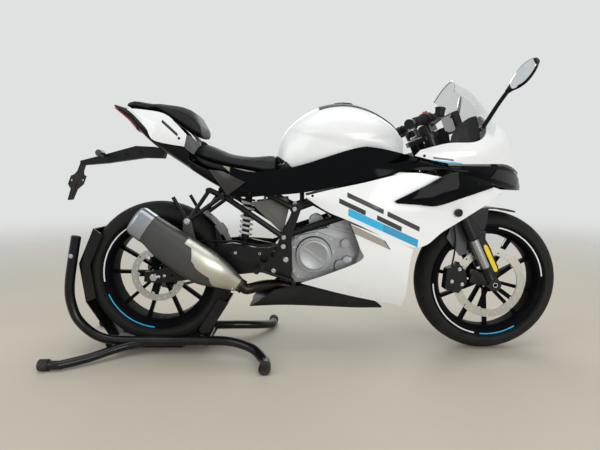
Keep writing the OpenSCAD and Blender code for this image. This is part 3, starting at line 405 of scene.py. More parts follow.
    def build(self, name: str, sharp: float = 38.0) -> Object:
        """Makes the Blender object.

        Args:
            name: Name of the piece.
            sharp: Edges that bend by more degrees than this stay sharp.

        Returns:
            The new object, in the scene.
        """
        mesh = bpy.data.meshes.new(name)
        mesh.from_pydata((np.concatenate(self.points) * MM).tolist(), [], self.faces)
        work = bmesh.new()
        work.from_mesh(mesh)
        bmesh.ops.remove_doubles(work, verts=work.verts, dist=0.02 * MM)
        bmesh.ops.recalc_face_normals(work, faces=work.faces)
        work.to_mesh(mesh)
        work.free()
        return scene_object(name, mesh, sharp)


def scene_object(name: str, mesh: Mesh, sharp: float) -> Object:
    """Puts a mesh into the scene with smooth faces and sharp edges.

    Args:
        name: Name of the piece.
        mesh: Its mesh.
        sharp: Edges that bend by more degrees than this stay sharp.

    Returns:
        The new object.
    """
    mesh.shade_smooth()
    mesh.set_sharp_from_angle(angle=math.radians(sharp))
    piece = bpy.data.objects.new(name, mesh)
    bpy.context.scene.collection.objects.link(piece)
    return piece


def soften(piece: Object, width: float, segments: int = 2, angle: float = 34.0) -> Object:
    """Rounds a piece's sharp edges a little, as moulds and tools leave them.

    Args:
        piece: Object to round.
        width: Width of the rounding in millimetres.
        segments: Faces across the rounding.
        angle: Only edges that bend by more degrees than this are rounded.

    Returns:
        The same object.
    """
    bevel = piece.modifiers.new("rounded edges", "BEVEL")
    bevel.width = width * MM
    bevel.segments = segments
    bevel.limit_method = "ANGLE"
    bevel.angle_limit = math.radians(angle)
    bevel.harden_normals = True
    return piece


def cad_copy(node: str, name: str, sharp: float = 34.0) -> Object:
    """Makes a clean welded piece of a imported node's own solid.

    Args:
        node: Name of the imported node.
        name: Name of the new piece.
        sharp: Edges that bend by more degrees than this stay sharp.

    Returns:
        The new object, which still has to ride on its body.
    """
    mesh = bpy.data.meshes.new(name)
    work = bmesh.new()
    work.from_mesh(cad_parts[node].data)
    bmesh.ops.remove_doubles(work, verts=work.verts, dist=0.01 * MM)
    flat = math.radians(0.5)
    bmesh.ops.dissolve_limit(work, angle_limit=flat, verts=work.verts, edges=work.edges)
    work.to_mesh(mesh)
    work.free()
    return scene_object(name, mesh, sharp)


def cut_away(piece: Object, outside: Callable[[Vector], bool]) -> None:
    """Deletes the points of a piece that lie outside what is kept.

    Args:
        piece: Object to cut.
        outside: Says whether a point, in metres, goes.
    """
    work = bmesh.new()
    work.from_mesh(piece.data)
    bmesh.ops.delete(work, geom=[v for v in work.verts if outside(v.co)], context="VERTS")
    work.to_mesh(piece.data)
    work.free()


def cad_part(node: str, name: str, front: float) -> Object:
    """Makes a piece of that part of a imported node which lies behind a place.

    Args:
        node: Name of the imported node.
        name: Name of the new piece.
        front: Foremost x of the part, in millimetres.

    Returns:
        The new object.
    """
    piece = cad_copy(node, name)
    cut_away(piece, lambda point: point.x > front * MM)
    return piece


class NodeSheet:
    """Places shader nodes in one tree and wires them."""

    def __init__(self, tree: NodeTree) -> None:
        """Takes the tree to work in."""
        self.tree = tree

    def add(self, kind: str, **values: object) -> Node:
        """Places a node, sets its options, and sets or links its inputs.

        Args:
            kind: Node type, without the leading ShaderNode.
            values: Options by attribute name, or inputs by socket name with blanks as underscores.

        Returns:
            The new node.
        """
        node = self.tree.nodes.new("ShaderNode" + kind)
        for key, value in values.items():
            if hasattr(node, key):
                setattr(node, key, value)
                continue
            number = key[1:]
            socket = node.inputs[int(number)] if number.isdigit() else node.inputs[key.replace("_", " ")]
            self.feed(socket, value)
        return node

    def feed(self, socket: NodeSocket, value: object) -> None:
        """Links a socket to another, or sets its plain value.

        Args:
            socket: Input to feed.
            value: Another node's output, or a plain value.
        """
        if isinstance(value, NodeSocket):
            self.tree.links.new(value, socket)
        else:
            socket.default_value = value

    def math(self, operation: str, a: object, b: object = 0.0) -> NodeSocket:
        """Places a math node and returns its result."""
        return self.add("Math", operation=operation, i0=a, i1=b).outputs[0]

    def scaled(self, value: object, low: float, high: float, to_low: float, to_high: float) -> NodeSocket:
        """Maps one span of numbers to another, held at its ends."""
        node = self.add("MapRange", Value=value, From_Min=low, From_Max=high, To_Min=to_low, To_Max=to_high)
        return node.outputs["Result"]

    def mix(self, share: object, a: object, b: object) -> NodeSocket:
        """Mixes two colours.

        Args:
            share: How much of the second colour shows.
            a: First colour.
            b: Second colour.

        Returns:
            The mixed colour.
        """
        node = self.tree.nodes.new("ShaderNodeMix")
        node.data_type = "RGBA"
        for index, value in ((0, share), (6, a), (7, b)):
            self.feed(node.inputs[index], (*value, 1.0) if isinstance(value, tuple) else value)
        return node.outputs[2]

    def group(self, tree: NodeTree, **values: object) -> Node:
        """Places a shared node group with its own values.

        Args:
            tree: The group.
            values: Inputs by socket name with blanks as underscores.

        Returns:
            The group's node.
        """
        node = self.tree.nodes.new("ShaderNodeGroup")
        node.node_tree = tree
        for key, value in values.items():
            self.feed(node.inputs[key.replace("_", " ")], value)
        return node


class GroupSheet(NodeSheet):
    """Builds a shader node group with named inputs and outputs."""

    def __init__(self, name: str, inputs: dict[str, tuple[str, object]], outputs: Sequence[str]) -> None:
        """Makes the group and its sockets.

        Args:
            name: Name of the group.
            inputs: Socket type and default of each input, by name.
            outputs: Names of the outputs, which are plain numbers.
        """
        super().__init__(bpy.data.node_groups.new(name, "ShaderNodeTree"))
        for label, (kind, default) in inputs.items():
            socket = self.tree.interface.new_socket(label, in_out="INPUT", socket_type="NodeSocket" + kind)
            socket.default_value = default
        for label in outputs:
            self.tree.interface.new_socket(label, in_out="OUTPUT", socket_type="NodeSocketFloat")
        self.given = self.tree.nodes.new("NodeGroupInput").outputs
        self.result = self.tree.nodes.new("NodeGroupOutput").inputs

    def place(self) -> NodeSocket:
        """Gives the point on the object, in metres."""
        return self.add("TexCoord").outputs["Object"]


WEAR_SCALE = 120.0
DUST_COLOUR = rgb("#b9b3a8")
DUST_REACH = 0.6
DUST_SCALE = 14.0
DUST_ROUGHNESS = 0.4
BAND_BLUR = 0.0003
ROUGH_SHARES = (0.85, 1.15)
BUMP_STRENGTH = 0.35
COAT_ROUGHNESS = 0.03


@cache
def grain_group() -> NodeTree:
    """Builds the fine grain of moulded, cast and sprayed surfaces.

    Returns:
        A group with a Height for bump and a Mask that varies the colour.
    """
    g = GroupSheet("surface_grain", {"Scale": ("Float", 600.0)}, ["Height", "Mask"])
    spot = g.place()
    fine = g.add("TexNoise", Vector=spot, Scale=g.given["Scale"], Detail=3.0).outputs["Fac"]
    broad_scale = g.math("MULTIPLY", g.given["Scale"], 0.03)
    broad = g.add("TexNoise", Vector=spot, Scale=broad_scale, Detail=4.0).outputs["Fac"]
    g.feed(g.result["Height"], fine)
    g.feed(g.result["Mask"], g.scaled(broad, 0.3, 0.7, 0.0, 1.0))
    return g.tree


@cache
def hide_group() -> NodeTree:
    """Builds the pebbled cells of a seat cover.

    Returns:
        A group with a Height for bump and a Mask of the cells' valleys.
    """
    g = GroupSheet("cover_pebbles", {"Scale": ("Float", 500.0)}, ["Height", "Mask"])
    cells = g.add("TexVoronoi", feature="DISTANCE_TO_EDGE", Vector=g.place(), Scale=g.given["Scale"])
    edge = cells.outputs["Distance"]
    g.feed(g.result["Height"], g.scaled(edge, 0.0, 0.25, 0.0, 1.0))
    g.feed(g.result["Mask"], g.scaled(edge, 0.02, 0.12, 1.0, 0.0))
    return g.tree


@cache
def wear_group() -> NodeTree:
    """Builds the rubbed look of edges and corners.

    Returns:
        A group with a Mask of the worn places.
    """
    g = GroupSheet("edge_wear", {"Amount": ("Float", 0.5)}, ["Mask"])
    ridge = g.scaled(g.add("NewGeometry").outputs["Pointiness"], 0.52, 0.62, 0.0, 1.0)
    patch = g.add("TexNoise", Vector=g.place(), Scale=WEAR_SCALE, Detail=5.0).outputs["Fac"]
    rubbed = g.math("MULTIPLY", ridge, g.scaled(patch, 0.4, 0.65, 0.0, 1.0))
    g.feed(g.result["Mask"], g.math("MULTIPLY", rubbed, g.given["Amount"]))
    return g.tree


@cache
def dust_group() -> NodeTree:
    """Builds a thin film of floor dust that thins out with height.

    Returns:
        A group with a Mask of the dust.
    """
    g = GroupSheet("floor_dust", {"Amount": ("Float", 0.3)}, ["Mask"])
    height = g.add("SeparateXYZ", Vector=g.place()).outputs["Z"]
    low = g.math("SUBTRACT", 1.0, g.math("DIVIDE", height, DUST_REACH))
    cloud = g.add("TexNoise", Vector=g.place(), Scale=DUST_SCALE, Detail=6.0, Roughness=0.65).outputs["Fac"]
    film = g.math("MULTIPLY", g.math("MAXIMUM", low, 0.0), g.scaled(cloud, 0.35, 0.75, 0.0, 1.0))
    g.feed(g.result["Mask"], g.math("MULTIPLY", film, g.given["Amount"]))
    return g.tree


@cache
def band_group() -> NodeTree:
    """Builds one slanted stripe of paint seen from the side.

    Returns:
        A group with a Mask of the stripe.
    """
    g = GroupSheet("paint_band", {
        "Middle X": ("Float", 0.0), "Middle Z": ("Float", 0.0), "Run X": ("Float", 1.0),
        "Run Z": ("Float", 0.0), "Half Length": ("Float", 0.1), "Half Width": ("Float", 0.01),
        "Lean": ("Float", 0.0)}, ["Mask"])
    spot = g.add("SeparateXYZ", Vector=g.place()).outputs
    dx = g.math("SUBTRACT", spot["X"], g.given["Middle X"])
    dz = g.math("SUBTRACT", spot["Z"], g.given["Middle Z"])
    run_x, run_z = g.given["Run X"], g.given["Run Z"]
    along = g.math("ADD", g.math("MULTIPLY", dx, run_x), g.math("MULTIPLY", dz, run_z))
    up = g.math("SUBTRACT", g.math("MULTIPLY", dz, run_x), g.math("MULTIPLY", dx, run_z))
    along = g.math("SUBTRACT", along, g.math("MULTIPLY", up, g.given["Lean"]))
    inside = []
    for value, half in ((along, g.given["Half Length"]), (up, g.given["Half Width"])):
        room = g.math("SUBTRACT", half, g.math("ABSOLUTE", value))
        inside.append(g.scaled(room, -BAND_BLUR, BAND_BLUR, 0.0, 1.0))
    g.feed(g.result["Mask"], g.math("MULTIPLY", *inside))
    return g.tree


@cache
def brush_group(lay: Lay) -> NodeTree:
    """Builds the fine lines of brushed or turned metal.

    Args:
        lay: Straight lines along the object's Y, or rings about an axle.

    Returns:
        A group with a Height for bump and a Mask of the lines.
    """
    g = GroupSheet("brushed_" + lay.value, {"Centre": ("Vector", (0.0, 0.0, 0.0)), "Scale": ("Float", 900.0)},
                   ["Height", "Mask"])
    off = g.add("VectorMath", operation="SUBTRACT", i0=g.place(), i1=g.given["Centre"]).outputs[0]
    if lay is Lay.ROUND:
        spot = g.add("SeparateXYZ", Vector=off).outputs
        flat = g.add("CombineXYZ", X=spot["X"], Z=spot["Z"]).outputs[0]
        radius = g.add("VectorMath", operation="LENGTH", i0=flat).outputs["Value"]
        lines = g.add("CombineXYZ", X=radius, Y=g.math("MULTIPLY", spot["Y"], 0.05)).outputs[0]
    else:
        lines = g.add("VectorMath", operation="MULTIPLY", i0=off, i1=(1.0, 0.02, 1.0)).outputs[0]
    noise = g.add("TexNoise", Vector=lines, Scale=g.given["Scale"], Detail=2.0).outputs["Fac"]
    g.feed(g.result["Height"], noise)
    g.feed(g.result["Mask"], g.scaled(noise, 0.35, 0.65, 0.0, 1.0))
    return g.tree


@dataclass(frozen=True)
class Finish:
    """A plain surface with grain, a little colour variation, worn edges and dust."""

    name: str
    colour: Colour
    roughness: float
    metallic: float = 0.0
    coat: float = 0.0
    grain: float = 600.0
    depth: float = 0.05
    mottle: float = 0.12
    wear: float = 0.0
    worn: Colour = (0.03, 0.03, 0.032)
    dust: float = 0.06
    shine: float = 0.5
    slot: str = ""

    def material(self) -> Material:
        """Gives the finish's material, built once."""
        return bpy.data.materials.get(self.name + "_finish") or self.build()

    def build(self) -> Material:
        """Builds the material.

        Returns:
            The new material.
        """
        material = bpy.data.materials.new(self.name + "_finish")
        material.use_nodes = True
        sheet = NodeSheet(material.node_tree)
        shader = material.node_tree.nodes["Principled BSDF"]
        texture = self.texture(sheet)
        colour = self.painted(sheet, self.shade(sheet, texture))
        if self.wear:
            worn = sheet.group(wear_group(), Amount=self.wear).outputs["Mask"]
            colour = sheet.mix(worn, colour, self.worn)
        film = sheet.group(dust_group(), Amount=self.dust).outputs["Mask"]
        sheet.feed(shader.inputs["Base Color"], sheet.mix(film, colour, DUST_COLOUR))
        low, high = (self.roughness * share for share in ROUGH_SHARES)
        rough = sheet.scaled(texture.outputs["Mask"], 0.0, 1.0, low, high)
        rougher = sheet.math("ADD", rough, sheet.math("MULTIPLY", film, DUST_ROUGHNESS))
        sheet.feed(shader.inputs["Roughness"], sheet.math("MINIMUM", rougher, 1.0))
        bump = sheet.add("Bump", Strength=BUMP_STRENGTH, Distance=self.depth * MM,
                         Height=texture.outputs["Height"])
        sheet.feed(shader.inputs["Normal"], bump.outputs["Normal"])
        shader.inputs["Metallic"].default_value = self.metallic
        shader.inputs["Coat Weight"].default_value = self.coat
        shader.inputs["Coat Roughness"].default_value = COAT_ROUGHNESS
        shader.inputs["Specular IOR Level"].default_value = self.shine
        self.special(shader)
        material.diffuse_color = (*self.colour, 1.0)
        return material

    def texture(self, sheet: NodeSheet) -> Node:
        """Places the group that gives the surface its relief."""
        return sheet.group(grain_group(), Scale=self.grain)

    def shade(self, sheet: NodeSheet, texture: Node) -> NodeSocket:
        """Varies the colour a little over the surface."""
        deep = tuple(c * (1 - self.mottle) for c in self.colour)
        return sheet.mix(texture.outputs["Mask"], deep, self.colour)

    def painted(self, sheet: NodeSheet, colour: NodeSocket) -> NodeSocket:
        """Adds what is painted over the colour; a plain finish has nothing."""
        return colour

    def special(self, shader: Node) -> None:
        """Sets the shader's even values that only some finishes have."""


@dataclass(frozen=True)
class Band:
    """A painted stripe in the side view, from one end to the other, in millimetres."""

    start: Pair
    end: Pair
    width: float
    colour: Colour
    lean: float = 0.0


@dataclass(frozen=True)
class StripedPaint(Finish):
    """Gloss paint with plain stripes."""

    bands: tuple[Band, ...] = ()

    def painted(self, sheet: NodeSheet, colour: NodeSocket) -> NodeSocket:
        """Lays each stripe over the paint.

        Args:
            sheet: The material's nodes.
            colour: The paint's colour.

        Returns:
            The colour with its stripes.
        """
        for band in self.bands:
            (x0, z0), (x1, z1) = band.start, band.end
            length = math.hypot(x1 - x0, z1 - z0)
            stripe = sheet.group(
                band_group(), Middle_X=(x0 + x1) / 2 * MM, Middle_Z=(z0 + z1) / 2 * MM,
                Run_X=(x1 - x0) / length, Run_Z=(z1 - z0) / length, Half_Length=length / 2 * MM,
                Half_Width=band.width / 2 * MM, Lean=band.lean)
            colour = sheet.mix(stripe.outputs["Mask"], colour, band.colour)
        return colour


@dataclass(frozen=True)
class BrushedMetal(Finish):
    """Metal with fine lines, straight or round an axle."""

    lay: Lay = Lay.STRAIGHT
    centre: Point = (0.0, 0.0, 0.0)

    def texture(self, sheet: NodeSheet) -> Node:
        """Places the group that draws the lines."""
        return sheet.group(brush_group(self.lay), Centre=tuple(c * MM for c in self.centre), Scale=self.grain)


@dataclass(frozen=True)
class SeatCover(Finish):
    """Grained cover of the seats."""

    def texture(self, sheet: NodeSheet) -> Node:
        """Places the group that draws the cover's pebbles."""
        return sheet.group(hide_group(), Scale=self.grain)


@dataclass(frozen=True)
class Lens(Finish):
    """Clear or tinted plastic that light passes through."""

    clear: float = 0.8
    glow: float = 0.0
    alpha: float = 1.0

    def special(self, shader: Node) -> None:
        """Lets light through and adds a faint glow where a lamp is lit.

        Args:
            shader: The material's shader node.
        """
        shader.inputs["Transmission Weight"].default_value = self.clear
        shader.inputs["Alpha"].default_value = self.alpha
        shader.inputs["Emission Color"].default_value = (*self.colour, 1.0)
        shader.inputs["Emission Strength"].default_value = self.glow


WHITE = rgb("#eceeef")
BLACK = rgb("#0c0d0f")
CYAN = rgb("#08afe4")
DEEP_CYAN = rgb("#0d98c9")


def gloss_white(name: str, *bands: Band) -> StripedPaint:
    """Gives the white gloss paint of the panels with its stripes, the lowest first."""
    return StripedPaint(
        name, WHITE, 0.3, coat=0.6, grain=240.0, depth=0.006, mottle=0.02, slot="paint_white", bands=bands)


WHITE_PAINT = gloss_white("white_paint")
SIDE_PAINT = gloss_white(
    "white_side_paint",
    Band((132, 592), (392, 474), 27.0, CYAN, -0.4),
    Band((262, 533), (392, 474), 27.0, DEEP_CYAN, -0.4),
    Band((98, 634), (196, 588), 17.0, BLACK, -0.4),
    Band((128, 656), (262, 593), 17.0, BLACK, -0.4),
    Band((238, 572), (330, 528), 17.0, BLACK, -0.4),
    Band((276, 586), (396, 528), 17.0, BLACK, -0.4))
NOSE_PAINT = gloss_white(
    "white_nose_paint",
    Band((446, 792), (520, 783), 7.0, BLACK, -0.6),
    Band((452, 780), (552, 769), 8.0, CYAN, -0.6))
TAIL_PAINT = gloss_white("white_tail_paint", Band((-577, 936), (-516, 881), 10.0, BLACK, -0.5))
BLACK_PAINT = Finish(
    "black_paint", rgb("#030406"), 0.08, grain=240.0, depth=0.004, mottle=0.06, dust=0.01, shine=0.09,
    slot="paint_black")
TAIL_BLACK = Finish(
    "tail_black", rgb("#06070a"), 0.2, grain=900.0, depth=0.02, mottle=0.08, dust=0.01, shine=0.16,
    slot="paint_black")
FENDER_BLACK = Finish(
    "fender_black", rgb("#0d0e10"), 0.34, grain=1200.0, depth=0.03, mottle=0.08, dust=0.04, shine=0.22,
    slot="paint_black")
MIRROR_BLACK = replace(
    FENDER_BLACK, name="mirror_black", colour=rgb("#060709"), roughness=0.25, dust=0.01, shine=0.2)
MATT_PLASTIC = Finish(
    "matt_plastic", rgb("#0e0f11"), 0.5, grain=1600.0, depth=0.06, mottle=0.1, wear=0.12, dust=0.03,
    shine=0.22, slot="paint_black")
GREY_PLASTIC = Finish(
    "grey_plastic", rgb("#46484b"), 0.5, grain=1500.0, depth=0.07, mottle=0.08, wear=0.12,
    slot="trim_grey")
SIDE_GREY = replace(GREY_PLASTIC, name="side_grey", colour=rgb("#5d5c57"))
SEAT_TRIM = replace(
    GREY_PLASTIC, name="seat_trim_grey", colour=rgb("#201e19"), roughness=0.3, depth=0.06, wear=0.1)
VENT_GREY = replace(
    GREY_PLASTIC, name="vent_grey", colour=rgb("#9b978c"), depth=0.06, mottle=0.06, wear=0.0)
FRAME_COAT = Finish(
    "frame_coat", rgb("#090a0c"), 0.3, grain=900.0, depth=0.03, mottle=0.06, wear=0.08, dust=0.03,
    shine=0.25, slot="frame_black")
CHOCK_COAT = Finish(
    "chock_coat", rgb("#06070a"), 0.16, grain=500.0, depth=0.02, mottle=0.06, wear=0.25,
    worn=rgb("#2a2b2e"), dust=0.03, shine=0.3, slot="chock_steel")
CAST_METAL = Finish(
    "cast_metal", rgb("#9b9d9f"), 0.42, metallic=0.75, grain=1300.0, depth=0.08, mottle=0.06, wear=0.3,
    worn=rgb("#d4d5d6"), slot="engine_metal")
DARK_METAL = Finish(
    "dark_metal", rgb("#141517"), 0.42, metallic=0.3, grain=1300.0, depth=0.06, mottle=0.08, wear=0.1,
    dust=0.03, shine=0.25, slot="caliper_metal")
BRIGHT_STEEL = Finish(
    "bright_steel", rgb("#c4c6c8"), 0.22, metallic=1.0, grain=700.0, depth=0.01, mottle=0.1,
    slot="bright_steel")
FORK_STEEL = replace(BRIGHT_STEEL, name="fork_steel", colour=rgb("#a4a6a6"), roughness=0.26, mottle=0.12)
SHIELD_STEEL = BrushedMetal(
    "shield_steel", rgb("#c9c6bb"), 0.36, metallic=1.0, grain=1500.0, depth=0.03, mottle=0.2,
    slot="exhaust_steel")
CAP_STEEL = BrushedMetal(
    "cap_steel", rgb("#9aa0a5"), 0.3, metallic=1.0, grain=900.0, depth=0.02, mottle=0.08,
    slot="exhaust_steel")
HOSE_RUBBER = Finish(
    "hose_rubber", rgb("#0b0b0c"), 0.45, grain=1200.0, depth=0.05, dust=0.03, shine=0.25,
    slot="grip_rubber")
SEAM_THREAD = Finish(
    "seam_thread", rgb("#0b0b0c"), 0.6, grain=2600.0, depth=0.2, shine=0.2, slot="seat_cover")
SCREEN_EDGE = Finish("screen_edge", rgb("#8e9598"), 0.25, depth=0.0, mottle=0.1, dust=0.0, slot="screen")
# Dark brown steel: the colour is darkened to the shade that the pipe lies in behind the bracket, so it is
# partly painted shade.
HEADER_STEEL = Finish(
    "header_steel", rgb("#3a342d"), 0.36, metallic=1.0, grain=160.0, depth=0.02, mottle=0.35,
    slot="exhaust_steel")
MUFFLER_COAT = Finish(
    "muffler_coat", rgb("#434341"), 0.42, metallic=0.35, grain=1400.0, depth=0.04, mottle=0.06,
    slot="muffler_grey")
TYRE_RUBBER = Finish(
    "tyre_rubber", rgb("#232322"), 0.62, grain=900.0, depth=0.12, mottle=0.25, dust=0.025, shine=0.1,
    slot="tyre_rubber")
GRIP_RUBBER = Finish(
    "grip_rubber", rgb("#0d0d0e"), 0.7, grain=1400.0, depth=0.1, shine=0.2, slot="grip_rubber")
FOOT_RUBBER = Finish(
    "foot_rubber", rgb("#121213"), 0.75, grain=800.0, depth=0.12, dust=0.12, shine=0.25,
    slot="foot_rubber")
WHEEL_BLACK = Finish(
    "wheel_black", rgb("#0e0f12"), 0.34, grain=500.0, depth=0.01, mottle=0.08, dust=0.01, shine=0.01,
    slot="wheel_black")
CHAIN_STEEL = Finish(
    "chain_steel", rgb("#6d6a63"), 0.4, metallic=0.9, grain=900.0, depth=0.05, slot="chain_steel")
COVER = SeatCover(
    "seat_cover", rgb("#141517"), 0.55, grain=420.0, depth=0.25, mottle=0.1, dust=0.02, shine=0.25,
    slot="seat_cover")
RED_LENS = Lens("red_lens", rgb("#b5101c"), 0.12, coat=0.6, clear=0.25, glow=0.06, slot="red_lens")
SMOKE_LENS = Lens("smoke_lens", rgb("#131416"), 0.14, dust=0.01, clear=0.1, shine=0.3, slot="amber_lens")
CLEAR_LENS = Lens("clear_lens", rgb("#dfe6ea"), 0.05, coat=0.5, clear=0.6, slot="clear_lens")
SCREEN = Lens(
    "screen", rgb("#dde2e4"), 0.05, mottle=0.01, depth=0.0, dust=0.0, clear=0.0, alpha=0.24,
    slot="screen")
GLASS_BLACK = Finish(
    "glass_black", rgb("#050607"), 0.06, coat=1.0, depth=0.0, mottle=0.3, slot="paint_black")
MIRROR_GLASS = Finish(
    "mirror_glass", rgb("#dfe3e6"), 0.02, metallic=1.0, depth=0.0, dust=0.0, slot="bright_steel")
SPRING_WHITE = Finish(
    "spring_white", rgb("#e6e7e6"), 0.3, coat=0.5, depth=0.02, mottle=0.04, slot="shock_grey")
REFLECTOR = Lens(
    "reflector", rgb("#f7d80a"), 0.18, coat=0.4, clear=0.05, grain=900.0, depth=0.3, slot="amber_lens")
LAMP_GLASS = Lens(
    "lamp_glass", rgb("#0b0c0e"), 0.05, depth=0.0, dust=0.0, clear=0.3, shine=0.25, slot="clear_lens")
STRIPE_WHITE = Finish("stripe_white", rgb("#e8ebec"), 0.35, depth=0.0, mottle=0.03, slot="paint_white")
STRIPE_CYAN = replace(STRIPE_WHITE, name="stripe_cyan", colour=CYAN, mottle=0.05)
DISC_FRONT = BrushedMetal(
    "disc_front", rgb("#b9b7b0"), 0.3, metallic=1.0, grain=300.0, depth=0.03, lay=Lay.ROUND,
    centre=(730, 0, 293), slot="disc_steel")
DISC_REAR = replace(
    DISC_FRONT, name="disc_rear", colour=rgb("#b9b9b6"), roughness=0.32, centre=(-630, 0, 325))
FORK_BLACK = Finish(
    "fork_black", rgb("#0c0d0f"), 0.28, grain=500.0, depth=0.02, mottle=0.05, dust=0.02, shine=0.3,
    slot="fork_black")
RED_SWITCH = Finish("red_switch", rgb("#c01a20"), 0.4, depth=0.02, slot="red_lens")


def dress(piece: Object, finish: Finish, *nodes: str, body: Body = Body.CHASSIS) -> None:
    """Gives a piece its finish and its body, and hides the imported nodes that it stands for.

    Args:
        piece: The new object.
        finish: Its finish.
        nodes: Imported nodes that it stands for.
        body: The body that it rides on.
    """
    piece.data.materials.clear()
    piece.data.materials.append(finish.material())
    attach(piece, body.value)
    if nodes:
        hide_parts(*nodes)
    LOG.info("%s: %s on the %s body", piece.name, finish.name, body.value)


def lay_hose(name: str, points: Sequence[Spot], d: float, body: Body = Body.CHASSIS) -> None:
    """Builds a brake hose that leaves one fitting and ends in another.

    Args:
        name: Name of the hose.
        points: Points that its middle goes through, in millimetres.
        d: Its diameter in millimetres.
        body: The body that it rides on.
    """
    route = smooth_line(np.array(points, float), 6)
    piece = MeshKit().tube(route, d, 14).build(name)
    dress(piece, HOSE_RUBBER, body=body)


def machined(node: str, finish: Finish, rounding: float, sharp: float = 34.0,
             body: Body = Body.CHASSIS) -> None:
    """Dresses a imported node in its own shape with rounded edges."""
    piece = cad_copy(node, node + "_finished", sharp)
    dress(soften(piece, rounding, angle=sharp), finish, node, body=body)


def section(row: np.ndarray, turn: np.ndarray) -> np.ndarray:
    """Gives the points of a lofted body's section.

    Args:
        row: Station as x, lowest z, widest z, highest z, half width and squareness.
        turn: Angles from the left side, in radians.

    Returns:
        Points at those angles.
    """
    x, low, wide, high, half, square = row
    across = np.sign(np.cos(turn)) * np.abs(np.cos(turn)) ** (2 / square)
    up = np.sign(np.sin(turn)) * np.abs(np.sin(turn)) ** (2 / square)
    z = wide + np.where(up > 0, high - wide, wide - low) * up
    return np.stack([np.full_like(turn, x), half * across, z], axis=1)


def loft_net(rows: Rows, steps: int, sides: int) -> np.ndarray:
    """Spreads a smooth skin over a lofted body, by station, then round the section."""
    turn = np.arange(sides) * 2 * math.pi / sides
    return np.array([section(row, turn) for row in smooth_line(np.array(rows), steps)])


@dataclass(frozen=True)
class Lamp:
    """A softbox: its place and aim in metres, its width and height, and its power in watts."""

    name: str
    at: Point
    aim: Point
    size: Pair
    power: float


@dataclass
class Studio:
    """Floor, soft light and camera."""

    camera_at: Point = (-0.048, -1.885, 0.707)
    camera_pitch: float = 5.59
    lens: float = 27.0
    sensor: float = 36.0
    floor_size: float = 22.0
    floor_grain: float = 60.0
    floor_deep: float = 0.96
    floor_roughness: float = 0.6
    floor_fade: Pair = (1.2, 10.0)
    floor_colour: Colour = rgb("#cac2b3")
    sky: Colour = (0.98, 1.0, 0.99)
    sky_light: float = 0.5
    sky_seen: float = 0.76
    lamps: tuple[Lamp, ...] = (
        Lamp("top_softbox", (0.0, -0.4, 3.2), (0.0, 0.0, 0.5), (3.6, 2.2), 34.0),
        Lamp("front_softbox", (1.6, -3.4, 1.2), (0.2, 0.0, 0.4), (2.6, 1.6), 53.0),
        Lamp("rear_softbox", (-2.6, -2.0, 1.8), (-0.3, 0.0, 0.5), (1.6, 1.6), 17.0),
        Lamp("far_softbox", (0.4, 3.2, 2.2), (0.0, 0.0, 0.5), (3.0, 1.8), 34.0))

    def build(self) -> None:
        """Builds the stage in order."""
        self.lay_floor()
        self.hang_lights()
        self.light_world()
        self.set_camera()

    def lay_floor(self) -> None:
        """Lays a wide pale floor that fades into the room."""
        half = self.floor_size / 2
        mesh = bpy.data.meshes.new("floor")
        corners = [(-half, -half, 0), (half, -half, 0), (half, half, 0), (-half, half, 0)]
        mesh.from_pydata(corners, [], [(0, 1, 2, 3)])
        floor = bpy.data.objects.new("floor", mesh)
        bpy.context.scene.collection.objects.link(floor)
        material = bpy.data.materials.new("pale_floor")
        material.use_nodes = True
        sheet = NodeSheet(material.node_tree)
        shader = material.node_tree.nodes["Principled BSDF"]
        texture = sheet.group(grain_group(), Scale=self.floor_grain)
        deep = tuple(c * self.floor_deep for c in self.floor_colour)
        sheet.feed(shader.inputs["Base Color"], sheet.mix(texture.outputs["Mask"], deep, self.floor_colour))
        shader.inputs["Roughness"].default_value = self.floor_roughness
        reach = sheet.add("VectorMath", operation="LENGTH", i0=sheet.add("TexCoord").outputs["Object"])
        fade = sheet.scaled(reach.outputs["Value"], *self.floor_fade, 1.0, 0.0)
        fade.node.interpolation_type = "SMOOTHSTEP"
        sheet.feed(shader.inputs["Alpha"], sheet.math("POWER", fade, 2.0))
        mesh.materials.append(material)

    def hang_lights(self) -> None:
        """Hangs one wide softbox above the bike and three beside it."""
        for lamp in self.lamps:
            light = bpy.data.lights.new(lamp.name, "AREA")
            light.shape = "RECTANGLE"
            light.size, light.size_y = lamp.size
            light.energy = lamp.power
            holder = bpy.data.objects.new(lamp.name, light)
            holder.location = lamp.at
            way = Vector(lamp.aim) - Vector(lamp.at)
            holder.rotation_euler = way.to_track_quat("-Z", "Y").to_euler()
            bpy.context.scene.collection.objects.link(holder)

    def light_world(self) -> None:
        """Fills the room with even pale light, a little brighter where the camera sees it."""
        world = bpy.data.worlds.new("pale_room")
        world.use_nodes = True
        bpy.context.scene.world = world
        sheet = NodeSheet(world.node_tree)
        rays = sheet.add("LightPath").outputs
        seen = sheet.math("MAXIMUM", rays["Is Camera Ray"], rays["Is Transmission Ray"])
        seen = sheet.math("MAXIMUM", seen, rays["Is Glossy Ray"])
        back = world.node_tree.nodes["Background"]
        back.inputs["Color"].default_value = (*self.sky, 1.0)
        sheet.feed(back.inputs["Strength"], sheet.scaled(seen, 0.0, 1.0, self.sky_light, self.sky_seen))

    def set_camera(self) -> None:
        """Sets the camera at the picture's viewing angle."""
        camera = bpy.data.cameras.new("camera")
        camera.lens = self.lens
        camera.sensor_width = self.sensor
        holder = bpy.data.objects.new("camera", camera)
        holder.location = self.camera_at
        holder.rotation_euler = (math.radians(90 - self.camera_pitch), 0.0, 0.0)
        bpy.context.scene.collection.objects.link(holder)
        bpy.context.scene.camera = holder
        bpy.context.scene.view_settings.view_transform = "Standard"


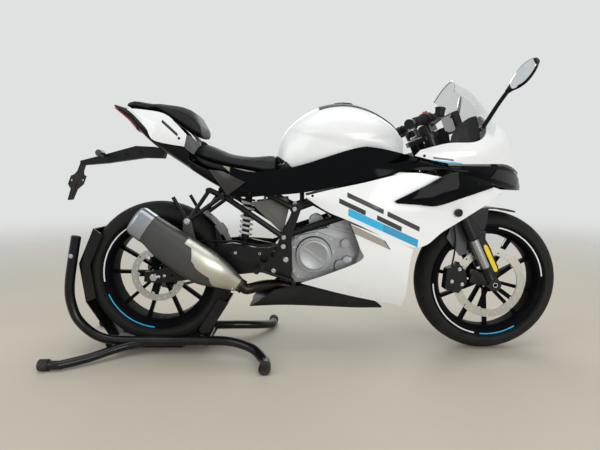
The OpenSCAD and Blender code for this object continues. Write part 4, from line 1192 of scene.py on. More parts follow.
@dataclass
class Bodywork:
    """Moulded panels of the fairing and tail, the windscreen and the lamps."""

    panel_t: float = 4.0
    along: int = 12
    down: int = 8
    upper_fairing: Rails = (
        ((400, 188, 822), (500, 200, 846), (600, 195, 851), (650, 168, 882), (676, 98, 945), (694, 0, 978)),
        ((390, 193, 811), (500, 208, 808), (620, 202, 812), (715, 152, 850), (765, 82, 892), (788, 0, 904)),
        ((380, 191, 800), (500, 207, 772), (630, 192, 769), (745, 132, 770), (825, 62, 746), (857, 0, 724)))
    nose_trim: Rails = (
        ((505, 205, 764), (632, 189, 762), (745, 129, 762), (823, 60, 737), (853, 0, 715)),
        ((508, 216, 750), (606, 204, 744), (724, 146, 728), (818, 70, 706), (867, 0, 694)),
        ((512, 214, 738), (575, 208, 727), (694, 160, 694), (800, 82, 672), (868, 0, 668)))
    frame_cover: Rails = (
        ((-318, 136, 762), (-250, 142, 744), (-184, 148, 744), (-50, 158, 766), (158, 166, 829),
         (243, 172, 831), (382, 186, 797), (500, 200, 762)),
        ((-318, 147, 694), (-250, 158, 680), (-184, 164, 690), (-45, 174, 712), (158, 188, 765),
         (243, 194, 775), (375, 200, 772), (503, 208, 750)),
        ((-318, 144, 650), (-250, 156, 645), (-184, 164, 650), (-30, 180, 664), (160, 197, 702),
         (243, 203, 722), (365, 206, 746), (506, 204, 742)))
    side_upper: Rails = (
        ((-24, 186, 652), (70, 196, 675), (180, 206, 698), (354, 214, 736), (473, 220, 722), (600, 200, 704),
         (735, 138, 672)),
        ((-22, 188, 646), (62, 204, 634), (165, 216, 626), (366, 226, 596), (486, 224, 624), (622, 203, 660),
         (736, 144, 664)),
        ((-20, 186, 640), (52, 200, 594), (142, 212, 556), (378, 218, 460), (494, 216, 524), (643, 196, 612),
         (734, 140, 656)))
    side_lower: Rails = (
        ((142, 209, 548), (178, 206, 455), (184, 204, 410), (60, 186, 352), (-44, 166, 313)),
        ((258, 215, 502), (274, 212, 428), (276, 204, 368), (208, 182, 306), (148, 156, 262)),
        ((376, 213, 452), (366, 208, 396), (362, 196, 324), (360, 176, 266), (350, 148, 220)))
    wing: Rails = (
        ((300, 236, 634), (400, 244, 685), (504, 240, 737), (575, 224, 728), (690, 176, 692)),
        ((303, 238, 630), (392, 248, 652), (478, 250, 676), (568, 234, 690), (690, 180, 688)),
        ((306, 237, 625), (384, 246, 620), (452, 248, 616), (560, 232, 648), (690, 178, 684)))
    belly: Rails = (
        ((-152, 118, 274), (-42, 134, 294), (100, 140, 266), (232, 138, 240), (278, 124, 205)),
        ((-246, 104, 204), (-110, 116, 213), (60, 120, 207), (180, 116, 200), (276, 102, 197)),
        ((-252, 0, 197), (-100, 0, 202), (70, 0, 199), (160, 0, 195), (274, 0, 191)))
    screen_top: Rails = (
        ((540, 130, 1050), (552, 92, 1080), (562, 48, 1102), (568, 0, 1112)),
        ((602, 142, 1000), (622, 96, 1034), (640, 50, 1054), (650, 0, 1062)))
    cockpit_side: Rails = (
        ((532, 184, 906), (576, 180, 938), (612, 170, 950)),
        ((518, 188, 878), (574, 184, 896), (622, 170, 916)),
        ((506, 188, 832), (596, 184, 820), (632, 168, 856)))
    tail: Rails = (
        ((-730, 78, 990), (-680, 98, 986), (-584, 122, 969), (-540, 130, 943), (-482, 138, 884)),
        ((-726, 82, 986), (-686, 104, 972), (-612, 132, 930), (-574, 138, 896), (-486, 142, 860)),
        ((-722, 80, 981), (-692, 102, 960), (-640, 126, 908), (-608, 134, 862), (-492, 139, 838)))
    seat_cowl: Rails = (
        ((-483, 138, 884), (-462, 133, 875), (-434, 119, 846)),
        ((-487, 142, 860), (-468, 138, 848), (-444, 128, 830)),
        ((-493, 139, 838), (-478, 137, 822), (-458, 130, 808)))
    seat_trim: Rails = (
        ((-403, 124, 751), (-372, 138, 748), (-343, 147, 744)),
        ((-366, 140, 702), (-332, 153, 712), (-300, 161, 722)),
        ((-328, 150, 652), (-292, 161, 676), (-256, 167, 702)))
    vent: Outline = ((142, 545), (266, 485), (287, 453), (155, 513))
    vent_frame: float = 5.0
    vent_t: float = 1.8
    dash_at: Point = (578, 0, 900)
    dash_tilt: float = -20.0

    def build(self) -> None:
        """Builds the panels, then the screen and the lamps."""
        self.panel("upper_fairing", NOSE_PAINT, self.upper_fairing)
        self.panel("nose_trim", BLACK_PAINT, self.nose_trim)
        self.panel("frame_covers", BLACK_PAINT, self.frame_cover)
        self.panel("side_fairings", SIDE_PAINT, self.side_upper, self.side_lower)
        self.panel("wing_panels", BLACK_PAINT, self.wing)
        self.panel("belly_pan", MATT_PLASTIC, self.belly)
        self.panel("tail_fairing", TAIL_PAINT, self.tail)
        self.panel("seat_cowl", GREY_PLASTIC, self.seat_cowl, packed=False)
        self.panel("seat_trim", SEAT_TRIM, self.seat_trim, packed=False)
        self.vents()
        self.windscreen()
        self.cockpit()
        self.headlights()
        self.screws()

    def net(self, rails: Rails) -> np.ndarray:
        """Gives the dense sheet of a panel."""
        return panel_net(rails, self.along, self.down)

    def panel(self, name: str, finish: Finish, *rails: Rails, packed: bool = True) -> None:
        """Builds a panel on both sides of the bike.

        Args:
            name: Name of the panel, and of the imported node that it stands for.
            finish: Its finish.
            rails: Rails of each sheet.
            packed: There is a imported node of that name.
        """
        kit = MeshKit()
        for sheet in rails:
            kit.twin_shell(self.net(sheet), self.panel_t)
        piece = soften(kit.build(name + "_panel"), 1.1)
        dress(piece, finish, *([name] if packed else []))

    def vents(self) -> None:
        """Lays the framed vents along the upper edge of the lower side panels."""
        sheet = self.net(self.side_lower)
        middle = np.mean(self.vent, axis=0)
        looks = (("vent_frames", BLACK_PAINT, self.vent_frame, 4.8), ("vent_inserts", VENT_GREY, 0.0, 5.5))
        for name, finish, grow, lift in looks:
            corners = [p + grow * unit(np.subtract(p, middle)) for p in self.vent]
            kit = MeshKit().twin_shell(drape(sheet, corners, 24, 8), self.vent_t, lift)
            dress(kit.build(name), finish)

    def windscreen(self) -> None:
        """Builds the clear screen, whose lower edge lies on the nose."""
        nose = self.net(self.upper_fairing)
        row, step = self.down // 2, self.along // 3
        foot = nose + (self.panel_t + 1.5) * net_outward(nose)
        low = tuple(tuple(foot[row, step * c]) for c in (9, 11, 13, 15))
        sheet = both_sides(self.net((*self.screen_top, low)))[0]
        kit = MeshKit().shell(sheet, self.panel_t)
        dress(soften(kit.build("windscreen_sheet"), 1.2), SCREEN, "windscreen")
        rim = MeshKit().tube(sheet[0] - 2.0 * net_outward(sheet)[0], 5.0, 12)
        dress(rim.build("screen_edge"), SCREEN_EDGE)

    def cockpit(self) -> None:
        """Builds the inner cockpit panels and the dash with its dark display."""
        kit = MeshKit().shell(self.net(self.cockpit_side), self.panel_t).mirrored()
        dress(soften(kit.build("cockpit_panels"), 1.0), MATT_PLASTIC, "cockpit")
        lean = Matrix.Rotation(math.radians(self.dash_tilt), 4, "Y")
        tilt = Matrix.Translation(self.dash_at) @ lean
        housing = MeshKit().block((0, -72, 0), (30, 72, 82)).moved(tilt)
        housing.bar((596, 0, 905), (632, 0, 905), 20)
        dress(soften(housing.build("dash_housing"), 6.0, 4), MATT_PLASTIC)
        face = MeshKit().block((-0.8, -62, 9), (2, 62, 74)).moved(tilt)
        dress(soften(face.build("dash_display"), 0.6), GLASS_BLACK)

    def headlights(self) -> None:
        """Builds the lamp lenses and the bright light bars above them."""
        net = self.net(self.nose_trim)
        rows, cols = self.down // 2, self.along // 3
        lens = net[rows : 3 * rows + 1, 5 * cols : 10 * cols + 1]
        kit = MeshKit().shell(lens, 3.0, 3.5).mirrored()
        dress(soften(kit.build("headlight_lenses"), 0.8), LAMP_GLASS, "headlights")
        bar = net[1 : rows - 1, 8 * cols : 11 * cols + 1]
        strip = MeshKit().shell(bar, 1.6, 1.2).mirrored()
        dress(strip.build("light_bars"), CLEAR_LENS)

    def screws(self) -> None:
        """Sets the small dark screws that hold the panels."""
        kit = MeshKit()
        spots = ((self.side_upper, 4, 4), (self.side_upper, 6, 44), (self.side_lower, 12, 42),
                 (self.side_lower, 3, 6), (self.frame_cover, 12, 14), (self.upper_fairing, 12, 4),
                 (self.tail, 8, 44), (self.wing, 6, 40))
        for rails, row, col in spots:
            net = self.net(rails)
            kit.bolt(net[row, col], net_outward(net)[row, col], 8.0, 2.2)
        dress(kit.mirrored().build("panel_screws"), DARK_METAL)


@dataclass
class TankAndSeats:
    """Fuel tank with its cover, both seats and the tail under them."""

    tank_floor: float = 752.0
    front_floor: float = 800.0
    knee_depth: float = 7.0
    tank_rows: Rows = (
        (-140, 700, 772, 822, 62, 2.4), (-112, 700, 780, 896, 94, 2.4), (-60, 700, 796, 953, 122, 2.4),
        (10, 700, 822, 994, 146, 2.4), (82, 700, 846, 1012, 158, 2.4), (160, 700, 858, 1010, 160, 2.4),
        (240, 700, 862, 983, 152, 2.4), (312, 700, 858, 936, 130, 2.4), (356, 700, 848, 884, 100, 2.4))
    rider_rows: Rows = (
        (-466, 814, 826, 841, 96, 3), (-412, 786, 812, 846, 122, 3), (-330, 764, 786, 812, 132, 3),
        (-250, 748, 774, 799, 128, 3), (-186, 733, 768, 803, 112, 3), (-143, 740, 766, 808, 96, 3))
    pillion_rows: Rows = (
        (-735, 1000, 1007, 1014, 62, 3), (-700, 997, 1008, 1019, 88, 3), (-640, 984, 996, 1009, 110, 3),
        (-600, 984, 994, 1005, 116, 3), (-550, 946, 974, 1000, 118, 3), (-500, 908, 948, 992, 118, 3),
        (-462, 884, 920, 968, 112, 3), (-436, 880, 898, 920, 100, 3))
    undertail_rows: Rows = (
        (-786, 1000, 1006, 1012, 58, 3), (-730, 950, 975, 996, 76, 3), (-690, 905, 945, 985, 94, 3),
        (-625, 846, 890, 966, 112, 3), (-560, 800, 860, 944, 118, 3), (-505, 764, 822, 904, 120, 3),
        (-482, 748, 800, 860, 120, 3), (-472, 742, 772, 796, 120, 3), (-400, 696, 730, 764, 120, 3),
        (-334.3, 660, 700, 744, 118, 3))
    base_drop: float = 24.0
    flap: Outline = ((-143, 808), (-126, 799), (-70, 752), (-143, 748))
    rail_line: Outline = (
        (-348, 766), (-300, 757), (-250, 748), (-196, 737), (-176, 734), (-184, 726), (-250, 726),
        (-318, 738))
    plate_arm: Outline = (
        (-600, 830), (-640, 846), (-720, 850), (-850, 815), (-950, 790), (-950, 772), (-850, 780),
        (-690, 802), (-610, 800))
    cap_at: Point = (128, 0, 1016)
    cap_profile: Outline = (
        (41, -2), (41, 3.0), (39, 4.4), (31, 4.4), (30, 3.4), (13, 3.4), (12, 5.4), (2, 5.6))

    def build(self) -> None:
        """Builds the tank, the seats and the tail."""
        self.tank()
        self.seat("rider_seat", self.rider_rows, ((24.0, 8, 34), (68.0, 4, 36)))
        self.seat("pillion_seat", self.pillion_rows, ((20.0, 8, 50), (60.0, 22, 50)))
        self.seat_base()
        self.undertail()

    def seat_base(self) -> None:
        """Builds the pan under the rider's seat, its flaps beside the tank and the pale rails."""
        rows = tuple((x, low - self.base_drop, low - self.base_drop / 2, low + 4, half - 6, 6)
                     for x, low, _, _, half, _ in self.rider_rows)
        pan = MeshKit().net(loft_net(rows, 6, 48), loop_cols=True, cap=True)
        dress(soften(pan.build("seat_pan"), 1.2, angle=50), MATT_PLASTIC)
        skin = loft_net(self.tank_rows, 8, 96)
        flaps = MeshKit().twin_shell(drape(skin, self.flap, 16, 10), 8.0, 5.0)
        dress(soften(flaps.build("seat_flaps"), 2.5, 3), COVER)
        rail = MeshKit().plate(self.rail_line, 126.0, 131.0).mirrored()
        dress(soften(rail.build("seat_rails"), 1.0), VENT_GREY)

    def tank(self) -> None:
        """Builds the painted tank with its knee recess, the grey cover on top and the filler cap."""
        net = loft_net(self.tank_rows, 8, 96)
        x, z = net[..., 0], net[..., 2]
        under = ease(905 - 0.203 * (x + 60) - z, 0, 15) * ease(x, -125, -40) * (1 - ease(x, 250, 330))
        net[..., 1] -= np.sign(net[..., 1]) * self.knee_depth * under
        floor = self.tank_floor + (self.front_floor - self.tank_floor) * ease(x, 276, 292)
        net[..., 2] = np.maximum(z, floor)
        kit = MeshKit().net(net, loop_cols=True, cap=True)
        dress(soften(kit.build("tank_shell"), 2.0, 3), WHITE_PAINT, "tank")
        skin = self.strip(self.tank_rows, slice(26, 62), np.linspace(118, 62, 29))
        cover = MeshKit().shell(skin, 4.0, 4.5)
        dress(soften(cover.build("tank_cover_skin"), 1.6, 3), GREY_PLASTIC, "tank_cover")
        cap = MeshKit().revolve(self.cap_profile, self.cap_at, (0.02, 0, 1), 48)
        dress(cap.build("filler_cap"), MATT_PLASTIC)

    def seat(self, node: str, rows: Rows, seams: tuple[tuple[float, int, int], ...]) -> None:
        """Builds one seat pad, swelled under its cover, with sewn seams.

        Args:
            node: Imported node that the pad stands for.
            rows: Stations of the pad.
            seams: Angle from the left side, and first and last station, of each seam.
        """
        net = loft_net(rows, 8, 64)
        piece = MeshKit().net(net, loop_cols=True, cap=True).build(node + "_pad", 60.0)
        plump(piece, 5.0, 4.0)
        dress(piece, COVER, node)
        fine = smooth_line(np.array(rows), 8)
        kit = MeshKit()
        for angle, first, last in seams:
            for turn in (angle, 180 - angle):
                line = [section(r, np.radians([turn]))[0] for r in fine[first:last]]
                kit.tube(np.array([self.on_pad(piece, p) for p in line]), 2.6, 8)
        dress(kit.build(node + "_seams"), SEAM_THREAD)

    @staticmethod
    def strip(rows: Rows, span: slice, turn: np.ndarray) -> np.ndarray:
        """Gives a strip of a lofted body's skin, by angle in degrees, then fine station."""
        fine = smooth_line(np.array(rows), 8)[span]
        return np.array([section(r, np.radians(turn)) for r in fine]).transpose(1, 0, 2)

    @staticmethod
    def on_pad(piece: Object, point: np.ndarray) -> np.ndarray:
        """Gives the point of a pad's cover that is nearest to a point in millimetres."""
        return np.array(piece.closest_point_on_mesh(Vector(point) * MM)[1]) / MM

    def undertail(self) -> None:
        """Builds the black tail body, the plate arm, the bare plate holder and the red lamp."""
        kit = MeshKit().net(loft_net(self.undertail_rows, 8, 64), loop_cols=True, cap=True)
        dress(soften(kit.build("tail_body"), 1.2, angle=50), TAIL_BLACK, "undertail")
        arm = MeshKit().plate(self.plate_arm, -22, 22)
        arm.bolt((-700, -22, 826), RIGHT, 9, 4).bolt((-760, -22, 818), RIGHT, 9, 4)
        dress(soften(arm.build("plate_arm"), 4.0, 3), MATT_PLASTIC)
        dress(soften(cad_part("undertail", "plate_holder", -936.0), 1.2), MATT_PLASTIC)
        skin = self.strip(self.undertail_rows, slice(17), np.linspace(325, 215, 33))
        lamp = MeshKit().shell(skin, 5.0, 5.5)
        dress(soften(lamp.build("tail_lamp"), 1.0), RED_LENS, "tail_light")


COVER_PRESSURE = 4.0
COVER_STEPS = 20


def plump(piece: Object, voxel: float, most: float) -> None:
    """Swells a pad as foam does under a stretched cover, and keeps its underside where it rests.

    Args:
        piece: Pad to swell, with its mesh in the frame.
        voxel: Size of the even cells that it is cut into, in millimetres.
        most: Furthest that a point may move, in millimetres.
    """
    remesh = piece.modifiers.new("even cells", "REMESH")
    remesh.mode = "VOXEL"
    remesh.voxel_size = voxel * MM
    apply_modifiers(piece)
    rest = np.array([v.co for v in piece.data.vertices])
    facing = np.array([v.normal.z for v in piece.data.vertices])
    cloth = piece.modifiers.new("stretched cover", "CLOTH")
    cloth.settings.quality = 6
    cloth.settings.use_pressure = True
    cloth.settings.uniform_pressure_force = COVER_PRESSURE
    cloth.settings.effector_weights.gravity = 0.0
    cloth.point_cache.frame_end = COVER_STEPS
    for step in range(1, COVER_STEPS + 1):
        bpy.context.scene.frame_set(step)
    apply_modifiers(piece)
    bpy.context.scene.frame_set(1)
    move = np.array([v.co for v in piece.data.vertices]) - rest
    length = np.maximum(np.linalg.norm(move, axis=1), 1e-9)
    share = np.minimum(1.0, most * MM / length) * ease(facing, -0.5, 0.1)
    piece.data.vertices.foreach_set("co", (rest + move * share[:, None]).ravel())
    piece.data.shade_smooth()
    piece.modifiers.new("fine cover", "SUBSURF").render_levels = 1


def apply_modifiers(piece: Object) -> None:
    """Replaces a piece's mesh by what its modifiers make of it.

    Args:
        piece: Object to work on.
    """
    graph = bpy.context.evaluated_depsgraph_get()
    graph.update()
    made = bpy.data.meshes.new_from_object(piece.evaluated_get(graph))
    piece.modifiers.clear()
    piece.data = made


@dataclass
class Wheel:
    """One wheel: tyre, rim, brake disc and the trim that turns with them."""

    end: str
    body: Body
    disc: Finish
    at: Point
    r: float
    half: float
    bead_half: float
    disc_face: float
    arm_r: float
    pinstripes: tuple[tuple[float, float, Finish], ...]
    bead_r: float = 216.0
    flange_r: float = 230.0
    flange_t: float = 6.0
    groove_depth: float = 3.2
    groove_count: int = 15
    groove_lean: float = 0.9
    groove_edge: Pair = (2.2, 4.6)
    groove_start: Pair = (8.0, 12.0)
    rib_angles: tuple[float, ...] = (68, 86, 90)
    rib_height: float = 0.7
    laps: int = 660
    stripe_radii: Pair = (222.5, 227.5)
    valve_turn: float = 62.0

    def build(self) -> None:
        """Builds the wheel from the tyre inwards."""
        self.tyre()
        machined(self.end + "_rim", WHEEL_BLACK, 2.0, 30.0, self.body)
        machined(self.end + "_disc", self.disc, 0.5, body=self.body)
        self.trim()
        self.stripes()

    def polar(self, radius: float, turn: float, across: float) -> np.ndarray:
        """Gives a point by its radius, its angle from the front in degrees and its half width."""
        a = math.radians(turn)
        return np.array(self.at) + (radius * math.cos(a), across, radius * math.sin(a))

    def tyre(self) -> None:
        """Builds the tyre with its slanted grooves and ribbed side walls."""
        mid = self.bead_r + 0.4 * (self.r - self.bead_r)
        lean = np.radians(np.linspace(-100, 100, 65))[None, :]
        turn = np.linspace(0, 2 * math.pi, self.laps, endpoint=False)[:, None]
        across = self.half * lean
        pitch = 2 * math.pi * self.r / self.groove_count
        run = turn * self.r + self.groove_lean * np.abs(across) + np.where(across > 0, pitch / 2, 0)
        near = np.abs((run % pitch) - pitch / 2)
        cut = self.groove_depth * (1 - ease(near, *self.groove_edge))
        cut = cut * ease(np.abs(across), *self.groove_start)
        cut = cut * (1 - ease(np.abs(across), 0.95 * self.half, 1.05 * self.half))
        for place in self.rib_angles:
            off = np.abs(np.degrees(np.abs(lean)) - place)
            cut = cut - self.rib_height * (1 - ease(off, 0.8, 2.2))
        out = mid + (self.r - mid) * np.cos(lean) - cut * np.cos(lean)
        side = self.half * np.sin(lean) - cut * np.sin(lean)
        edge, seat = self.bead_half - 0.5, self.bead_r + 0.3
        foot = [(self.flange_r + 3, edge), (seat, edge), (seat, -edge), (self.flange_r + 3, -edge)]
        out = np.concatenate([out, np.tile([r for r, _ in foot], (self.laps, 1))], axis=1)
        side = np.concatenate([side, np.tile([y for _, y in foot], (self.laps, 1))], axis=1)
        net = np.stack([self.at[0] + out * np.cos(turn), side, self.at[2] + out * np.sin(turn)], axis=2)
        kit = MeshKit().net(net, loop_rows=True, loop_cols=True)
        dress(kit.build(self.end + "_tyre_tread", 50.0), TYRE_RUBBER, self.end + "_tyre", body=self.body)

    def trim(self) -> None:
        """Sets the disc bolts and the valve."""
        bolts = MeshKit()
        for k in range(5):
            bolts.bolt(self.polar(self.arm_r, 36 + 72 * k, -self.disc_face), RIGHT, 13.0, 4.0)
            bolts.bolt(self.polar(27.0, 72 * k, -self.disc_face - 1.5), RIGHT, 7.0, 3.0)
        dress(bolts.build(self.end + "_disc_bolts"), BRIGHT_STEEL, body=self.body)
        foot, neck, tip = (self.polar(radius, self.valve_turn, 0) for radius in (199, 168, 160))
        valve = MeshKit().bar(foot, neck, 7.0, 14).bar(neck, tip, 9.0, 14)
        dress(valve.build(self.end + "_valve"), BRIGHT_STEEL, body=self.body)

    def stripes(self) -> None:
        """Lays the thin coloured arcs on both flanges."""
        face = self.bead_half + self.flange_t + 0.25
        for number, (start, end, finish) in enumerate(self.pinstripes):
            kit = MeshKit()
            for side in (-1, 1):
                turn = np.linspace(start, end, 60)
                net = np.array([[self.polar(radius, a, side * face) for a in turn]
                                for radius in self.stripe_radii])
                kit.shell(net if side < 0 else net[::-1], 0.5)
            dress(kit.build(f"{self.end}_pinstripe_{number}"), finish, body=self.body)


@dataclass
class FrontEnd:
    """Fork, yokes, bars and what the rider's hands reach."""

    axle: Point = (730, 0, 293)
    rake: float = 25.0
    fork_y: float = 100.0
    bar_in: Point = (468, 130, 956)
    bar_out: Point = (326, 345, 899)
    hose_d: float = 7.0
    fender_tail: Outline = ((580, 561), (548, 477), (604, 402), (632, 412), (630, 523))
    hose_route: Route = (
        (-120, -64, 106), (-112, -66, 128), (-86, -72, 170), (-62, -80, 220), (-48, -88, 276),
        (-42, -92, 336), (-40, -94, 388), (-40, -94, 426))
    guard: Outline = ((12, 26), (36, 22), (46, 60), (46, 150), (40, 214), (30, 262), (12, 268))
    reflector: Outline = (
        (21, 52), (25, 44), (33, 44), (38, 52), (38, 154), (33, 164), (25, 164), (21, 154))
    union: Outline = ((-50, 430), (-10, 430), (-10, 442), (-50, 442))
    caliper_bolts: Outline = ((570, 300), (600, 350), (612, 288))

    def build(self) -> None:
        """Builds the fork and then the bars."""
        for node, finish, rounding in (
                ("fork_tubes", FORK_BLACK, 1.5), ("fork_sliders", FORK_STEEL, 0.4),
                ("fork_feet", FORK_BLACK, 3.0), ("triple_clamps", FRAME_COAT, 3.0),
                ("handlebars", FORK_BLACK, 2.0), ("controls", MATT_PLASTIC, 2.5),
                ("front_fender", FENDER_BLACK, 1.5), ("front_caliper", DARK_METAL, 4.0),
                ("front_axle", BRIGHT_STEEL, 1.0)):
            machined(node, finish, rounding, body=Body.STEERING)
        self.grips()
        self.fork_details()
        self.guards()
        self.bar_fittings()
        self.hose()

    def fork(self, x: float, y: float, s: float) -> np.ndarray:
        """Gives a point of the fork's frame.

        Args:
            x: Place ahead of the legs.
            y: Place to the left of the middle.
            s: Place up along the legs.

        Returns:
            The point in the bike's frame.
        """
        a = math.radians(self.rake)
        return np.array([self.axle[0] + x * math.cos(a) - s * math.sin(a), y,
                         self.axle[2] + x * math.sin(a) + s * math.cos(a)])

    def along_bar(self, place: float) -> np.ndarray:
        """Gives the point of the left bar at a distance from its inner end."""
        return np.array(self.bar_in) + place * unit(np.subtract(self.bar_out, self.bar_in))

    def grips(self) -> None:
        """Builds the rubber grips with their ribs and end flanges."""
        places, sizes = [140.0], [38.0]
        for k in range(19):
            base = 145 + 5.6 * k
            places += [base, base + 1.0, base + 3.6, base + 4.6]
            sizes += [31.0, 33.6, 33.6, 31.0]
        path = np.array([self.along_bar(p) for p in places + [254.0, 255.8]])
        kit = MeshKit().tube(path, np.array(sizes + [33.0, 33.0]), 32).mirrored()
        dress(kit.build("grip_rubbers"), GRIP_RUBBER, "grips", body=Body.STEERING)

    def fork_details(self) -> None:
        """Sets the seals, the top caps, the clamp bolts and the caliper's bolts."""
        seals = MeshKit()
        caps = MeshKit()
        up = self.fork(0, 0, 1) - self.fork(0, 0, 0)
        ahead = self.fork(1, 0, 0) - self.fork(0, 0, 0)
        seals.revolve([(19, -4), (23, -4), (25.5, 0), (25.5, 3)], self.fork(0, self.fork_y, 203), up, 32)
        caps.nut(self.fork(0, self.fork_y, 696), up, 26.0, 9.0)
        for s in (450, 646):
            caps.bolt(self.fork(33, self.fork_y - 26, s), ahead, 9.0, 6.0)
        dress(seals.mirrored().build("fork_seals"), MATT_PLASTIC, body=Body.STEERING)
        caps.mirrored()
        caps.nut(self.fork(-30, 0, 658), up, 30.0, 12.0)
        for x, z in self.caliper_bolts:
            caps.bolt((x, -85.7, z), RIGHT, 12.0, 5.0)
        dress(caps.build("fork_caps"), BRIGHT_STEEL, body=Body.STEERING)

    def slab(self, kit: MeshKit, outline: Outline, low: float, high: float) -> MeshKit:
        """Adds a plate with an outline in the fork's frame, ahead of a leg and up along it."""
        corners = [self.fork(x, 0, s) for x, s in outline]
        return kit.plate([(p[0], p[2]) for p in corners], low, high)

    def guards(self) -> None:
        """Builds the guards ahead of the legs with their reflectors, and the fender's grey rear skirts."""
        guard = self.slab(MeshKit(), self.guard, self.fork_y - 8, self.fork_y + 8).mirrored()
        dress(soften(guard.build("fork_guards"), 4.0, 3), FENDER_BLACK, body=Body.STEERING)
        lens = self.slab(MeshKit(), self.reflector, self.fork_y + 7.6, self.fork_y + 12.5).mirrored()
        dress(soften(lens.build("side_reflectors"), 1.6, 3), REFLECTOR, body=Body.STEERING)
        skirt = MeshKit().plate(self.fender_tail, 65.4, 67.4).mirrored()
        dress(soften(skirt.build("fender_skirts"), 0.8), GREY_PLASTIC, body=Body.STEERING)

    def bar_fittings(self) -> None:
        """Builds the brake reservoir on the right bar, the switches and the lever pivots."""
        flip = np.array([1.0, -1.0, 1.0])
        hold = self.along_bar(66) * flip
        tank = MeshKit().bar(hold + (2, 0, 0), hold + (30, -2, 6), 22)
        tank.revolve([(13, 0), (17, 3), (18, 8), (18, 26), (19.5, 26.5), (19.5, 33), (16, 35), (2, 35.5)],
                     hold + (36, -2, 2), (0.1, 0, 1), 36)
        tank.bar(hold + (20, 4, 2), self.along_bar(112) * flip + (26, -4, 2), 16)
        dress(soften(tank.build("brake_reservoir"), 1.0), MATT_PLASTIC, body=Body.STEERING)
        perch = MeshKit().bar(self.along_bar(70), self.along_bar(82), 30)
        perch.bar(self.along_bar(76), self.along_bar(98) + (34, 10, -2), 15)
        dress(soften(perch.build("clutch_perch"), 1.0), MATT_PLASTIC, body=Body.STEERING)
        knobs = MeshKit()
        lean = (-0.75, 0.2, 0.62)
        for place in (96, 122):
            spot = self.along_bar(place) + 19.6 * unit(lean)
            knobs.revolve([(6.5, -2), (6.5, 2.4), (5, 3.6), (1, 3.8)], spot, lean, 20)
        dress(knobs.build("left_switches"), GREY_PLASTIC, body=Body.STEERING)
        lean = (-0.35, -0.1, 0.93)
        spot = self.along_bar(100) * flip + 20 * unit(lean)
        stop = MeshKit().revolve([(9, -2), (9, 4), (7.4, 6.4), (1, 6.8)], spot, lean, 24)
        dress(stop.build("stop_switch"), RED_SWITCH, body=Body.STEERING)

    def hose(self) -> None:
        """Runs the front brake hose from the caliper up behind the right leg to a union under the yoke."""
        route = [self.fork(*p) for p in self.hose_route]
        lay_hose("front_brake_hose", route, self.hose_d, Body.STEERING)
        union = MeshKit().bar(self.fork(-40, -94, 420), self.fork(-40, -94, 432), 12, 6)
        self.slab(union, self.union, -103, -85)
        dress(soften(union.build("hose_union"), 1.0), BRIGHT_STEEL, body=Body.STEERING)


